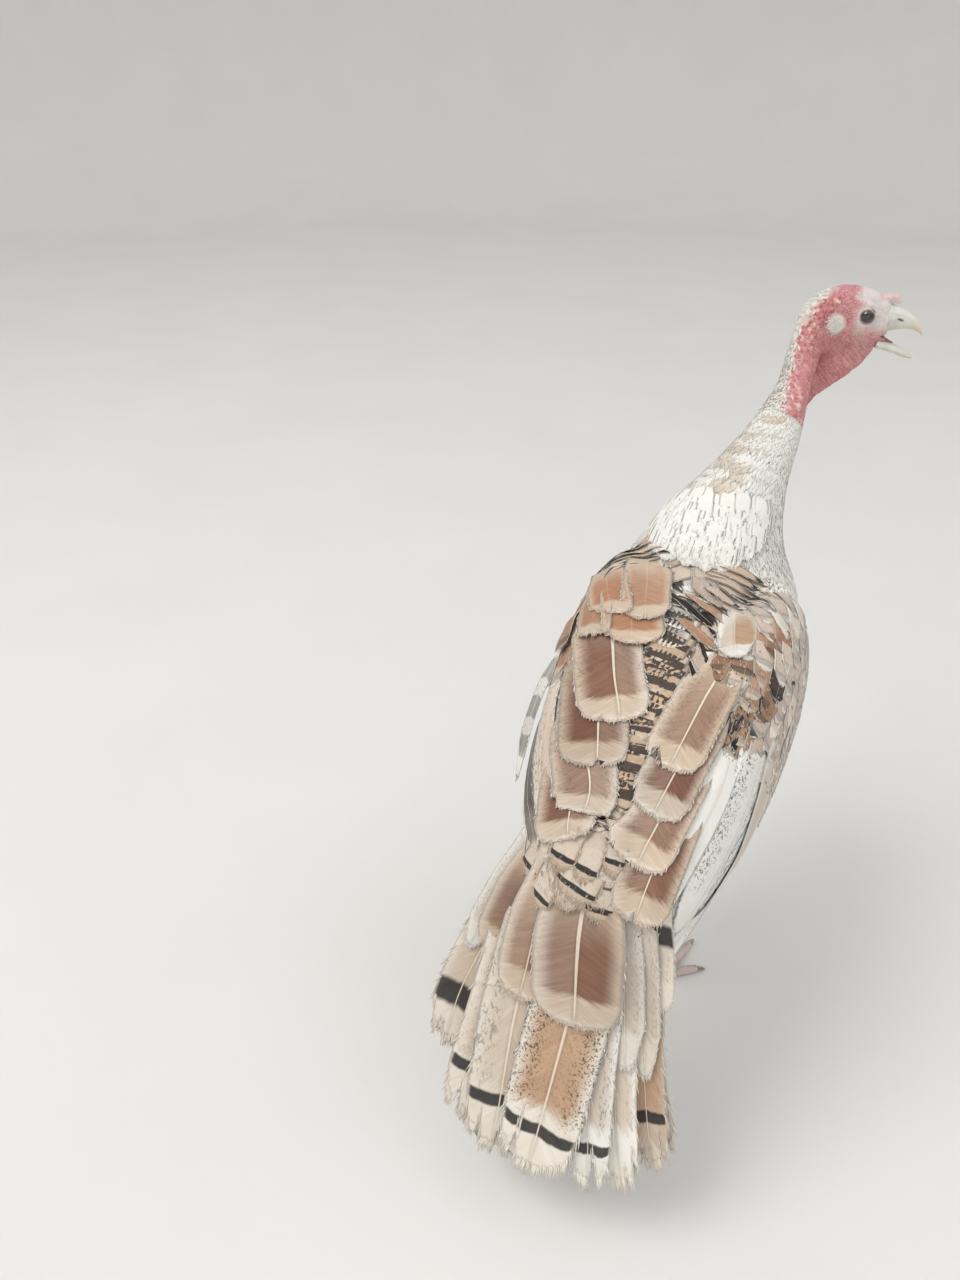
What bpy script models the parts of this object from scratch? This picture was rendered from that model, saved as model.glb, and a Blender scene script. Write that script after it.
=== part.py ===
"""Life-size standing domestic turkey hen, divided into its natural parts. Metres, +Z up, facing -Y."""
import math

import bmesh
import bpy
import numpy as np
from mathutils import Matrix, Vector

GAP = 0.0003            # clear gap between parts that touch
SHARPEST = 3.0          # most that the gap grows at a sharp corner
WELD = 0.00002          # cut corners closer than this are one
FLAT_ENOUGH = math.radians(1.5)     # faces bent less than this are merged after a cut
BODY_SIDES = 24         # corners round a trunk or neck ring
HEAD_SIDES = 20
LIMB_SIDES = 8
WING_SIDES = 16
FLIGHT_SIDES = 8
PAD_SIDES = 14
THIGH_SIDES = 14

# trunk and neck: forward, side (right is minus), height of the ring centre, half width, half depth
BODY_RINGS = [
    (-0.206, 0.002, 0.284, 0.010, 0.010),
    (-0.194, 0.002, 0.285, 0.032, 0.036),
    (-0.163, 0.003, 0.289, 0.056, 0.063),
    (-0.118, 0.003, 0.298, 0.074, 0.087),
    (-0.062, 0.003, 0.312, 0.083, 0.104),
    (0.000, 0.003, 0.332, 0.088, 0.115),
    (0.050, 0.004, 0.357, 0.092, 0.117),
    (0.088, 0.006, 0.388, 0.094, 0.113),
    (0.110, 0.006, 0.422, 0.090, 0.101),
    (0.121, 0.005, 0.455, 0.077, 0.086),
    (0.132, 0.001, 0.484, 0.059, 0.067),
    (0.148, -0.006, 0.511, 0.044, 0.050),
    (0.170, -0.013, 0.536, 0.033, 0.037),
    (0.197, -0.020, 0.559, 0.026, 0.028),
    (0.224, -0.024, 0.580, 0.0195, 0.0200),
    (0.246, -0.026, 0.600, 0.0150, 0.0155),
    (0.264, -0.027, 0.623, 0.0150, 0.0160),
    (0.277, -0.029, 0.648, 0.0145, 0.0160),
    (0.284, -0.031, 0.668, 0.0110, 0.0120),
]
NECK_STARTS = 10        # the listed ring where the feathered neck begins
BARE_STARTS = 14        # the listed ring where the bare neck begins
RINGS_PER_SPAN = 2      # smooth rings between two listed ones

# head, in its own frame: x towards the bill tip, y to the bird's left, z up, origin between the eyes
HEAD_PLACE = (-0.075, -0.292, 0.664)
HEAD_TURN = math.radians(80)   # the head looks over the right shoulder
SKULL_RINGS = [         # along, top, bottom, half width
    (-0.0605, -0.004, -0.016, 0.004),
    (-0.0570, 0.005, -0.027, 0.0105),
    (-0.0490, 0.014, -0.034, 0.0148),
    (-0.0380, 0.0215, -0.038, 0.0172),
    (-0.0250, 0.0252, -0.039, 0.0186),
    (-0.0120, 0.0250, -0.037, 0.0188),
    (0.0000, 0.0228, -0.034, 0.0172),
    (0.0090, 0.0190, -0.031, 0.0146),
    (0.0160, 0.0145, -0.0295, 0.0120),
    (0.0210, 0.0105, -0.0285, 0.0102),
]
UPPER_BILL_RINGS = [    # along, top, bottom, half width
    (0.0150, 0.0090, -0.0160, 0.0098),
    (0.0220, 0.0098, -0.0155, 0.0092),
    (0.0300, 0.0076, -0.0135, 0.0080),
    (0.0380, 0.0040, -0.0125, 0.0066),
    (0.0450, -0.0008, -0.0128, 0.0050),
    (0.0505, -0.0070, -0.0148, 0.0034),
    (0.0535, -0.0125, -0.0172, 0.0020),
    (0.0542, -0.0165, -0.0190, 0.0009),
]
LOWER_BILL_RINGS = [
    (0.0150, -0.0215, -0.0300, 0.0096),
    (0.0240, -0.0248, -0.0315, 0.0085),
    (0.0330, -0.0280, -0.0340, 0.0068),
    (0.0420, -0.0322, -0.0372, 0.0046),
    (0.0475, -0.0360, -0.0390, 0.0024),
    (0.0495, -0.0380, -0.0392, 0.0009),
]
TONGUE_RINGS = [
    (0.0160, -0.0200, -0.0245, 0.0050),
    (0.0260, -0.0228, -0.0262, 0.0042),
    (0.0340, -0.0258, -0.0280, 0.0024),
    (0.0370, -0.0268, -0.0278, 0.0008),
]
GAPE_CORNER = 0.0115    # how far forward the corner of the open mouth lies
GAPE_HEIGHT = -0.0195
GAPE_REACH = 0.030      # the open wedge's length, and how far its far end rises and falls
GAPE_RISE = 0.0100
GAPE_FALL = 0.0075
GAPE_HALF_WIDTH = 0.030
EYE_RADIUS = 0.0082
EYE_SIDE = 0.0112       # eye centre from the head's middle
EYE_SEGMENTS = (12, 8)
BILL_SIDES = 12
DEWLAP_SIDES = 10
SMALL_SIDES = 8         # tongue and snood
SNOOD_RINGS = [         # along, side, height, radius
    (0.0130, 0.0, 0.0125, 0.0042),
    (0.0185, 0.0, 0.0155, 0.0046),
    (0.0245, 0.0, 0.0148, 0.0038),
    (0.0290, 0.0, 0.0122, 0.0024),
]
DEWLAP_RINGS = [        # along, top, bottom, half width, from the chin back to the neck
    (0.0120, -0.026, -0.0345, 0.0030),
    (0.0040, -0.028, -0.0490, 0.0042),
    (-0.0080, -0.031, -0.0620, 0.0052),
    (-0.0220, -0.034, -0.0745, 0.0058),
    (-0.0340, -0.038, -0.0860, 0.0060),
    (-0.0420, -0.050, -0.1000, 0.0052),
]

# folded wing: forward, outwards, height of the ring centre, half width, half depth
WING_RINGS = [
    (0.122, 0.050, 0.420, 0.010, 0.026),
    (0.104, 0.055, 0.408, 0.036, 0.062),
    (0.055, 0.058, 0.382, 0.047, 0.088),
    (0.000, 0.058, 0.356, 0.049, 0.092),
    (-0.060, 0.055, 0.330, 0.047, 0.084),
    (-0.115, 0.050, 0.311, 0.042, 0.068),
    (-0.160, 0.045, 0.298, 0.034, 0.050),
    (-0.195, 0.041, 0.288, 0.023, 0.031),
    (-0.215, 0.039, 0.283, 0.008, 0.012),
]
FLIGHT_RINGS = [        # the closed primaries, under the wing's hind edge
    (-0.020, 0.091, 0.298, 0.0050, 0.020),
    (-0.085, 0.089, 0.280, 0.0055, 0.022),
    (-0.140, 0.079, 0.266, 0.0050, 0.020),
    (-0.185, 0.067, 0.258, 0.0040, 0.016),
    (-0.212, 0.059, 0.254, 0.0026, 0.008),
]
WING_SHIFT = {          # forward, outwards, up: the left shoulder is carried higher
    "right": (0.000, 0.000, 0.000),
    "left": (0.006, 0.004, 0.012),
}

# tail: a fan whose feathers diverge from a point inside the back
TAIL_ROOT = (0.012, 0.118, 0.490)       # x, y, z of the point they diverge from
TAIL_TIP = (0.007, 0.306, 0.069)
TAIL_FEATHERS = 14
TAIL_SPREAD = math.radians(17.0)        # half of the fan's opening
TAIL_SIDE_SHORTER = 0.13                # the outer feathers' loss of length
TAIL_ROOF = 2.8                         # droop of the fan's sides, per metre
TAIL_ROOT_RADIUS = 0.190                # where the fan starts, inside the rump
TAIL_THICKNESS = (0.016, 0.0016)        # at the root and at the rim
TAIL_TIP_ROUNDING = 0.011
COVERT_LENGTH = 0.135                   # from the fan's start
COVERT_HALF_WIDTH = 0.052
COVERT_DEPTH = 0.026
VENT_LENGTH = 0.110
VENT_HALF_WIDTH = 0.042
VENT_DEPTH = 0.034
PAD_OUTLINE = (         # share of a pad's length, of its width and of its depth
    (-0.35, 0.55, 0.60), (-0.10, 0.85, 0.95), (0.15, 1.00, 1.00), (0.40, 1.00, 0.82),
    (0.65, 0.86, 0.56), (0.85, 0.60, 0.32), (0.96, 0.34, 0.18), (1.00, 0.16, 0.13),
)
PAD_SUNK = 0.001        # how far a pad's flat side lies inside the fan
TAIL_STEPS = (3, 3)     # steps across each feather and along the fan
TAIL_EDGE_THINNING = 0.75

# legs
FEET = {"right": (-0.026, 0.002), "left": (0.044, -0.008)}
HOCK_BACK = 0.030
THIGH_RINGS = [         # share of the foot's side place, back from the foot, height, radius
    (1.25, -0.034, 0.266, 0.036),
    (1.25, -0.014, 0.234, 0.044),
    (1.18, 0.007, 0.200, 0.036),
    (1.08, 0.022, 0.168, 0.022),
    (1.00, 0.030, 0.144, 0.0108),
]
SHANK_RINGS = [         # share of the hock's place behind the foot, height, radius
    (1.00, 0.143, 0.0098),
    (0.80, 0.119, 0.0072),
    (0.45, 0.069, 0.0066),
    (0.14, 0.028, 0.0068),
    (0.03, 0.017, 0.0081),
    (0.00, 0.005, 0.0076),
]
TOE_TURN_OUT = math.radians(16)
TOES = {                # direction from straight ahead (outwards is plus), length, radius, claw length
    "middle": (0, 0.056, 0.0062, 0.014),
    "inner": (-36, 0.042, 0.0056, 0.012),
    "outer": (38, 0.041, 0.0056, 0.012),
    "hind": (188, 0.020, 0.0046, 0.010),
}
TOE_LIFT = 0.86         # height of a toe's middle over its radius, so that its sole is flat
TOE_SWELLS = ((-0.05, 1.0), (0.12, 1.05), (0.30, 0.93), (0.50, 1.0), (0.76, 0.84), (1.0, 0.66))
CLAW_CURVE = ((0.0, 0.60, 0.52), (0.4, 0.66, 0.46), (0.8, 0.42, 0.28), (1.0, 0.14, 0.10))
CLAW_OVERLAP = 0.002

COLOURS = {
    "plumage": ((0.78, 0.74, 0.66), 0.85),
    "wing": ((0.55, 0.38, 0.25), 0.80),
    "tail": ((0.62, 0.50, 0.36), 0.80),
    "skin": ((0.62, 0.17, 0.19), 0.55),
    "bill": ((0.72, 0.68, 0.55), 0.45),
    "leg": ((0.62, 0.52, 0.48), 0.60),
    "claw": ((0.45, 0.40, 0.34), 0.45),
    "eye": ((0.03, 0.025, 0.02), 0.10),
}


def reset():
    for obj in list(bpy.data.objects):
        bpy.data.objects.remove(obj, do_unlink=True)
    collections = []
    for name in ("domestic_turkey", "cutters"):
        collection = bpy.data.collections.new(name)
        bpy.context.scene.collection.children.link(collection)
        collections.append(collection)
    return collections


def material(name, finish):
    colour, roughness = COLOURS[finish]
    made = bpy.data.materials.new(name + "_" + finish)
    made.use_nodes = True
    shader = made.node_tree.nodes["Principled BSDF"]
    shader.inputs["Base Color"].default_value = (*colour, 1.0)
    shader.inputs["Roughness"].default_value = roughness
    shader.inputs["Metallic"].default_value = 0.0
    return made


def add_part(name, mesh, finish):
    mesh.name = name
    mesh.materials.clear()
    mesh.materials.append(material(name, finish))
    mesh.shade_smooth()
    mesh.set_sharp_from_angle(angle=math.radians(45))
    obj = bpy.data.objects.new(name, mesh)
    PARTS.objects.link(obj)
    return obj


def smooth_path(rows, per_span):
    """Catmull-Rom rows through the listed ones."""
    rows = np.array(rows, float)
    padded = np.vstack([2 * rows[0] - rows[1], rows, 2 * rows[-1] - rows[-2]])
    out = []
    for i in range(1, len(padded) - 2):
        before, start, end, after = padded[i - 1:i + 3]
        for k in range(per_span):
            t = k / per_span
            out.append(0.5 * (2 * start + (end - before) * t
                              + (2 * before - 5 * start + 4 * end - after) * t ** 2
                              + (3 * start - before - 3 * end + after) * t ** 3))
    out.append(rows[-1])
    return np.array(out)


def loft(rings):
    """One closed body through rings of equal corner count, with a flat face at each end."""
    bm = bmesh.new()
    loops = [[bm.verts.new(point) for point in ring] for ring in rings]
    for first, second in zip(loops, loops[1:]):
        for i, corner in enumerate(first):
            following = (i + 1) % len(first)
            bm.faces.new((corner, first[following], second[following], second[i]))
    bm.faces.new(list(reversed(loops[0])))
    bm.faces.new(loops[-1])
    bmesh.ops.recalc_face_normals(bm, faces=bm.faces)
    bmesh.ops.triangulate(bm, faces=bm.faces)
    mesh = bpy.data.meshes.new("loft")
    bm.to_mesh(mesh)
    bm.free()
    return mesh


def body_rings(rows, sides, per_span=RINGS_PER_SPAN, side_sign=1.0):
    """Rings square to a path given as forward, side, height, half width, half depth."""
    rows = smooth_path(rows, per_span)
    centres = np.column_stack([side_sign * rows[:, 1], -rows[:, 0], rows[:, 2]])
    tangents = np.gradient(centres, axis=0)
    rings = []
    for centre, tangent, row in zip(centres, tangents, rows):
        ahead = Vector(tangent).normalized()
        across = ahead.cross(Vector((0, 0, 1))).normalized()
        if across.x > 0:
            across = -across
        upward = across.cross(ahead)
        if upward.z < 0:
            upward = -upward
        half_width, half_depth = float(row[3]), float(row[4])
        ring = []
        for k in range(sides):
            angle = 2 * math.pi * k / sides
            ring.append(Vector(centre) + across * half_width * math.cos(angle)
                        + upward * half_depth * math.sin(angle))
        rings.append(ring)
    return rings


def head_matrix():
    facing = Matrix.Rotation(-math.pi / 2 - HEAD_TURN, 4, "Z")
    return Matrix.Translation(HEAD_PLACE) @ facing


def head_rings(rows, sides):
    """Upright oval rings along the head's own x axis, given as along, top, bottom, half width."""
    place = head_matrix()
    rings = []
    for along, top, bottom, half_width in rows:
        middle = (top + bottom) / 2
        half = (top - bottom) / 2
        ring = []
        for k in range(sides):
            angle = 2 * math.pi * k / sides
            side, height = half_width * math.cos(angle), middle + half * math.sin(angle)
            ring.append(place @ Vector((along, side, height)))
        rings.append(ring)
    return rings


def round_rings(rows, sides, place=Matrix.Identity(4), flat_floor=False, per_span=1):
    """Round rings on a free path given as x, y, z, radius; a flat floor presses them down to z = 0."""
    rows = smooth_path(rows, per_span)
    centres = rows[:, :3]
    tangents = np.gradient(centres, axis=0)
    rings = []
    for centre, tangent, row in zip(centres, tangents, rows):
        ahead = Vector(tangent).normalized()
        reference = Vector((0, 0, 1)) if abs(ahead.z) < 0.8 else Vector((0, 1, 0))
        across = ahead.cross(reference).normalized()
        upward = across.cross(ahead)
        ring = []
        for k in range(sides):
            angle = 2 * math.pi * (k + 0.5) / sides
            point = Vector(centre) + float(row[3]) * (across * math.cos(angle) + upward * math.sin(angle))
            point = place @ point
            if flat_floor:
                point.z = max(point.z, 0.0)
            ring.append(point)
        rings.append(ring)
    return rings


def finished_mesh(obj):
    bpy.context.view_layer.update()
    graph = bpy.context.evaluated_depsgraph_get()
    return bpy.data.meshes.new_from_object(obj.evaluated_get(graph))


def carve(obj, neighbours):
    """Cuts the neighbours, grown by the gap, out of a part."""
    for neighbour in neighbours:
        mesh = finished_mesh(neighbour)
        bm = bmesh.new()
        bm.from_mesh(mesh)
        bm.normal_update()
        steps = [vert.normal * GAP * min(vert.calc_shell_factor(), SHARPEST) for vert in bm.verts]
        for vert, step in zip(bm.verts, steps):
            vert.co += step
        bm.to_mesh(mesh)
        bm.free()
        cut_with(obj, mesh, "cut_" + obj.name + "_" + neighbour.name)
    keep_largest(obj)


def skin_area(island):
    return sum(face.calc_area() for vert in island for face in vert.link_faces)


def keep_largest(obj):
    """Applies the cuts made so far and drops the slivers that they left loose."""
    mesh = finished_mesh(obj)
    obj.modifiers.clear()
    bm = bmesh.new()
    bm.from_mesh(mesh)
    unseen = set(bm.verts)
    islands = []
    while unseen:
        front = [unseen.pop()]
        island = set(front)
        while front:
            for edge in front.pop().link_edges:
                for vert in edge.verts:
                    if vert in unseen:
                        unseen.remove(vert)
                        island.add(vert)
                        front.append(vert)
        islands.append(island)
    largest = max(islands, key=skin_area)
    bmesh.ops.delete(bm, geom=[vert for vert in bm.verts if vert not in largest], context="VERTS")
    bmesh.ops.remove_doubles(bm, verts=bm.verts, dist=WELD)
    bmesh.ops.dissolve_limit(bm, angle_limit=FLAT_ENOUGH, verts=bm.verts, edges=bm.edges)
    bmesh.ops.triangulate(bm, faces=bm.faces)
    bm.to_mesh(mesh)
    bm.free()
    obj.data = mesh


def cut_with(obj, mesh, name):
    cutter = bpy.data.objects.new(name, mesh)
    CUTTERS.objects.link(cutter)
    cutter.hide_render = True
    cutter.display_type = "WIRE"
    cut = obj.modifiers.new(name, "BOOLEAN")
    cut.operation = "DIFFERENCE"
    cut.solver = "EXACT"
    cut.object = cutter


def moved_on(ring, following):
    """The ring, moved by the gap towards the one that follows."""
    step = sum(following, Vector()) / len(following) - sum(ring, Vector()) / len(ring)
    return [corner + step.normalized() * GAP for corner in ring]


def make_trunk_and_neck():
    rings = body_rings(BODY_RINGS, BODY_SIDES)
    neck, bare = NECK_STARTS * RINGS_PER_SPAN, BARE_STARTS * RINGS_PER_SPAN
    trunk_rings = rings[:neck + 1]
    neck_rings = [moved_on(rings[neck], rings[neck + 1])] + rings[neck + 1:bare + 1]
    bare_rings = [moved_on(rings[bare], rings[bare + 1])] + rings[bare + 1:]
    return (add_part("trunk", loft(trunk_rings), "plumage"),
            add_part("neck_feathered", loft(neck_rings), "plumage"),
            add_part("neck_bare", loft(bare_rings), "skin"))


def make_head():
    skull = add_part("head", loft(head_rings(SKULL_RINGS, HEAD_SIDES)), "skin")
    upper = add_part("bill_upper", loft(head_rings(UPPER_BILL_RINGS, BILL_SIDES)), "bill")
    lower = add_part("bill_lower", loft(head_rings(LOWER_BILL_RINGS, BILL_SIDES)), "bill")
    tongue = add_part("tongue", loft(head_rings(TONGUE_RINGS, SMALL_SIDES)), "skin")
    snood = add_part("snood", loft(round_rings(SNOOD_RINGS, SMALL_SIDES, head_matrix())), "skin")
    eyes = [make_eye("eye_left", 1), make_eye("eye_right", -1)]
    dewlap = add_part("dewlap", loft(head_rings(DEWLAP_RINGS, DEWLAP_SIDES)), "skin")
    cut_with(skull, gape_wedge(), "cut_gape")
    carve(skull, [upper, lower, *eyes])
    carve(tongue, [lower, skull])
    carve(snood, [skull, upper])
    return skull, lower, dewlap


def gape_wedge():
    """The wedge of air between the jaws, from the corner of the mouth outwards."""
    place = head_matrix()
    bm = bmesh.new()
    for side in (-GAPE_HALF_WIDTH, GAPE_HALF_WIDTH):
        for along, height in ((0, 0), (GAPE_REACH, GAPE_RISE), (GAPE_REACH, -GAPE_FALL)):
            bm.verts.new(place @ Vector((GAPE_CORNER + along, side, GAPE_HEIGHT + height)))
    bmesh.ops.convex_hull(bm, input=bm.verts)
    bmesh.ops.recalc_face_normals(bm, faces=bm.faces)
    mesh = bpy.data.meshes.new("gape")
    bm.to_mesh(mesh)
    bm.free()
    return mesh


def make_eye(name, side):
    bm = bmesh.new()
    round_segments, height_segments = EYE_SEGMENTS
    bmesh.ops.create_uvsphere(bm, u_segments=round_segments, v_segments=height_segments, radius=EYE_RADIUS)
    bmesh.ops.rotate(bm, verts=bm.verts, matrix=Matrix.Rotation(math.pi / 2, 3, "X"))
    bmesh.ops.translate(bm, verts=bm.verts, vec=(0, side * EYE_SIDE, 0))
    bmesh.ops.transform(bm, verts=bm.verts, matrix=head_matrix())
    bmesh.ops.triangulate(bm, faces=bm.faces)
    mesh = bpy.data.meshes.new(name)
    bm.to_mesh(mesh)
    bm.free()
    return add_part(name, mesh, "eye")


def make_wing(side_name, sign):
    forward, outwards, up = WING_SHIFT[side_name]
    shift = np.array([forward, outwards, up, 0.0, 0.0])
    wing_rings = body_rings(np.array(WING_RINGS) + shift, WING_SIDES, 2, sign)
    flight_rings = body_rings(np.array(FLIGHT_RINGS) + shift, FLIGHT_SIDES, 2, sign)
    wing = add_part("wing_" + side_name, loft(wing_rings), "wing")
    flight = add_part("primaries_" + side_name, loft(flight_rings), "wing")
    return wing, flight


def tail_frame():
    """Axes of the fan: down its middle, across it, and out of its upper face."""
    root = Vector(TAIL_ROOT)
    along = Vector(TAIL_TIP) - root
    length = along.length
    along.normalize()
    across = along.cross(Vector((0, 0, 1))).normalized()
    outward = across.cross(along)
    if outward.y < 0:
        outward = -outward
    return root, along, across, outward, length


def tail_reach(angle, length):
    """Length of the fan at an angle, with one round tip per feather."""
    share = angle / TAIL_SPREAD
    feather = (share + 1) / 2 * TAIL_FEATHERS
    from_middle = 2 * (feather - math.floor(feather)) - 1
    return length * (1 - TAIL_SIDE_SHORTER * share ** 2) - TAIL_TIP_ROUNDING * from_middle ** 2


def fan_point(sideways, down, lift):
    """A point of the fan's roof-shaped surface, lifted out of its upper face."""
    root, along, across, outward, _ = tail_frame()
    return root + along * down + across * sideways + outward * (lift - TAIL_ROOF * sideways ** 2)


def make_tail():
    length = tail_frame()[4]
    steps_across = TAIL_FEATHERS * TAIL_STEPS[0]
    steps_along = TAIL_STEPS[1]
    rings = []
    for i in range(steps_across + 1):
        angle = -TAIL_SPREAD + 2 * TAIL_SPREAD * i / steps_across
        reach = tail_reach(angle, length)
        edge = 1 - TAIL_EDGE_THINNING * abs(angle / TAIL_SPREAD) ** 4
        top, under = [], []
        for k in range(steps_along + 1):
            share = k / steps_along
            radius = TAIL_ROOT_RADIUS + (reach - TAIL_ROOT_RADIUS) * share
            thick = TAIL_THICKNESS[0] * (1 - share) + TAIL_THICKNESS[1] * share
            across, down = radius * math.sin(angle), radius * math.cos(angle)
            top.append(fan_point(across, down, thick / 2 * edge))
            under.append(fan_point(across, down, -thick / 2 * edge))
        rings.append(top + under[::-1])
    return add_part("tail", loft(rings), "tail")


def make_pad(name, length, half_width, depth, sign):
    """A half-round pad on the fan's upper face, or with sign -1 on its under face."""
    rings = []
    for share, width, thick in PAD_OUTLINE:
        ring = []
        for k in range(PAD_SIDES):
            angle = 2 * math.pi * k / PAD_SIDES
            rise = max(math.sin(angle), 0.0) * depth * thick - PAD_SUNK
            ring.append(fan_point(half_width * width * math.cos(angle),
                                  TAIL_ROOT_RADIUS + length * share, sign * rise))
        rings.append(ring)
    return add_part(name, loft(rings), "tail")


def toe_direction(degrees, sign):
    heading = -sign * (math.radians(degrees) + TOE_TURN_OUT)
    return Vector((-math.sin(heading), -math.cos(heading), 0))


def split_from_neighbours(mesh, centre, direction, borders):
    """Trims a toe's root by upright planes midway to the next toes."""
    bm = bmesh.new()
    bm.from_mesh(mesh)
    for border in borders:
        normal = Vector((border.y, -border.x, 0))
        if normal.dot(direction) > 0:
            normal = -normal
        cut = bmesh.ops.bisect_plane(bm, geom=bm.verts[:] + bm.edges[:] + bm.faces[:], dist=WELD,
                                     plane_co=centre - normal * GAP / 2, plane_no=normal, clear_outer=True)
        rim = [part for part in cut["geom_cut"] if isinstance(part, bmesh.types.BMEdge)]
        bmesh.ops.holes_fill(bm, edges=rim)
    bmesh.ops.remove_doubles(bm, verts=bm.verts, dist=WELD)
    bmesh.ops.triangulate(bm, faces=bm.faces)
    bm.to_mesh(mesh)
    bm.free()
    return mesh


def make_foot(side_name, sign, centre):
    toes = []
    for toe_name, (degrees, length, radius, claw_length) in TOES.items():
        direction = toe_direction(degrees, sign)
        lift = TOE_LIFT * radius
        toe_rows = []
        for share, thick in TOE_SWELLS:
            place = centre + direction * length * share
            toe_rows.append((place.x, place.y, lift * thick, radius * thick))
        claw_rows = []
        for share, height, thick in CLAW_CURVE:
            place = centre + direction * (length - CLAW_OVERLAP + claw_length * share)
            claw_rows.append((place.x, place.y, radius * height, radius * thick))
        others = sorted((other[0] - degrees) % 360 for other in TOES.values() if other[0] != degrees)
        borders = [toe_direction(degrees + turn / 2, sign) for turn in (others[0], others[-1] - 360)]
        mesh = loft(round_rings(toe_rows, LIMB_SIDES, flat_floor=True))
        mesh = split_from_neighbours(mesh, centre, direction, borders)
        toe = add_part("toe_%s_%s" % (toe_name, side_name), mesh, "leg")
        claw_mesh = loft(round_rings(claw_rows, LIMB_SIDES, flat_floor=True))
        claw = add_part("claw_%s_%s" % (toe_name, side_name), claw_mesh, "claw")
        carve(claw, [toe])
        toes.append(toe)
    return toes


def make_leg(side_name, sign, plumage):
    """sign is -1 on the bird's right."""
    x, y = FEET[side_name]
    thigh_rows = [(x * out, y + back, height, radius) for out, back, height, radius in THIGH_RINGS]
    shank_rows = [(x, y + HOCK_BACK * share, height, radius) for share, height, radius in SHANK_RINGS]
    thigh = add_part("thigh_" + side_name, loft(round_rings(thigh_rows, THIGH_SIDES, per_span=2)), "plumage")
    shank = add_part("shank_" + side_name, loft(round_rings(shank_rows, LIMB_SIDES, per_span=2)), "leg")
    carve(thigh, plumage)
    carve(shank, [thigh] + make_foot(side_name, sign, Vector((x, y, 0))))


def centre_over_origin():
    """Puts the middle of the whole bird's box over the origin, with the soles at height 0."""
    corners = np.vstack([np.array([vert.co for vert in obj.data.vertices]) for obj in PARTS.objects])
    low, high = corners.min(axis=0), corners.max(axis=0)
    shift = Matrix.Translation((-(low[0] + high[0]) / 2, -(low[1] + high[1]) / 2, -low[2]))
    for obj in PARTS.objects:
        obj.data.transform(shift)
    for obj in CUTTERS.objects:
        obj.data.transform(shift)


PARTS, CUTTERS = reset()
TRUNK, NECK, BARE_NECK = make_trunk_and_neck()
SKULL, LOWER_BILL, DEWLAP = make_head()
carve(BARE_NECK, [SKULL])
carve(DEWLAP, [SKULL, BARE_NECK, LOWER_BILL, NECK])
TAIL = make_tail()
carve(TAIL, [TRUNK])
COVERTS = make_pad("tail_coverts", COVERT_LENGTH, COVERT_HALF_WIDTH, COVERT_DEPTH, 1)
carve(COVERTS, [TRUNK, TAIL])
VENT = make_pad("vent_feathers", VENT_LENGTH, VENT_HALF_WIDTH, VENT_DEPTH, -1)
carve(VENT, [TRUNK, TAIL, COVERTS])
PLUMAGE = [TRUNK, TAIL, COVERTS, VENT]
for SIDE_NAME, SIDE in (("right", -1.0), ("left", 1.0)):
    WING, FLIGHT = make_wing(SIDE_NAME, SIDE)
    carve(WING, PLUMAGE)
    carve(FLIGHT, PLUMAGE + [WING])
    PLUMAGE += [WING, FLIGHT]
for SIDE_NAME, SIDE in (("right", -1.0), ("left", 1.0)):
    make_leg(SIDE_NAME, SIDE, PLUMAGE)
centre_over_origin()
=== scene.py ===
# Domestic turkey hen: one skin, glossy eyes, horn bill and claws, and every feather as a thin closed vane.
import math
import bmesh
import bpy
import numpy as np
from mathutils import Matrix, Vector, noise
from mathutils.bvhtree import BVHTree
from mathutils.kdtree import KDTree


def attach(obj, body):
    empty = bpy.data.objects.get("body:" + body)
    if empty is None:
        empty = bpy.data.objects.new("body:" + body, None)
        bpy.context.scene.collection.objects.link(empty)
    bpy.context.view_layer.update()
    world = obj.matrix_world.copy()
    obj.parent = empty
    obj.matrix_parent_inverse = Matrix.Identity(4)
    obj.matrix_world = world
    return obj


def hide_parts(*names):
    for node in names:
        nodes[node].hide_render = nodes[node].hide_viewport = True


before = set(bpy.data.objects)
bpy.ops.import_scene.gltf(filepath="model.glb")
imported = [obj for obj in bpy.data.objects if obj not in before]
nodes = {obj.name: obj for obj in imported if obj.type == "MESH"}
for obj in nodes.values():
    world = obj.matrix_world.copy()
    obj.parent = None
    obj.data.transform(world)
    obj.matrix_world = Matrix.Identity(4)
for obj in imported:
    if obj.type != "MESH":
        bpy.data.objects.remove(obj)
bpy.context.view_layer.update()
rng = np.random.default_rng(7)


def srgb(*values):
    return tuple(((v / 255 + 0.055) / 1.055) ** 2.4 if v > 10 else v / 3295 for v in values)


def paint(*values):
    return srgb(*values) + (1,)


tint = {"white": srgb(238, 236, 230), "cream": srgb(227, 219, 207), "buff": srgb(200, 181, 161),
        "tan": srgb(186, 153, 124), "cinnamon": srgb(170, 126, 98), "brown": srgb(124, 84, 66),
        "black": srgb(38, 36, 37), "grey": srgb(120, 116, 110)}


def metres(places):
    return [tuple(c / 1000 for c in place) for place in places]


def step(low, high, value):
    share = np.clip((np.asarray(value, float) - low) / (high - low), 0.0, 1.0)
    return share * share * (3 - 2 * share)


def blendTint(first, second, share):
    share = np.asarray(share, float)[..., None]
    return np.asarray(first) * (1 - share) + np.asarray(second) * share


# lays (colour, share) coats over a colour, one after another
def layered(colour, layers):
    for shade, share in layers:
        colour = blendTint(colour, shade, share)
    return colour


def noiseAt(places, scale=1):
    return np.array([noise.noise(Vector(p) * scale) for p in places])


def meshArrays(mesh):
    co = np.empty(len(mesh.vertices) * 3)
    mesh.vertices.foreach_get("co", co)
    edges = np.empty(len(mesh.edges) * 2, int)
    mesh.edges.foreach_get("vertices", edges)
    return co.reshape(-1, 3), edges.reshape(-1, 2)


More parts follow.
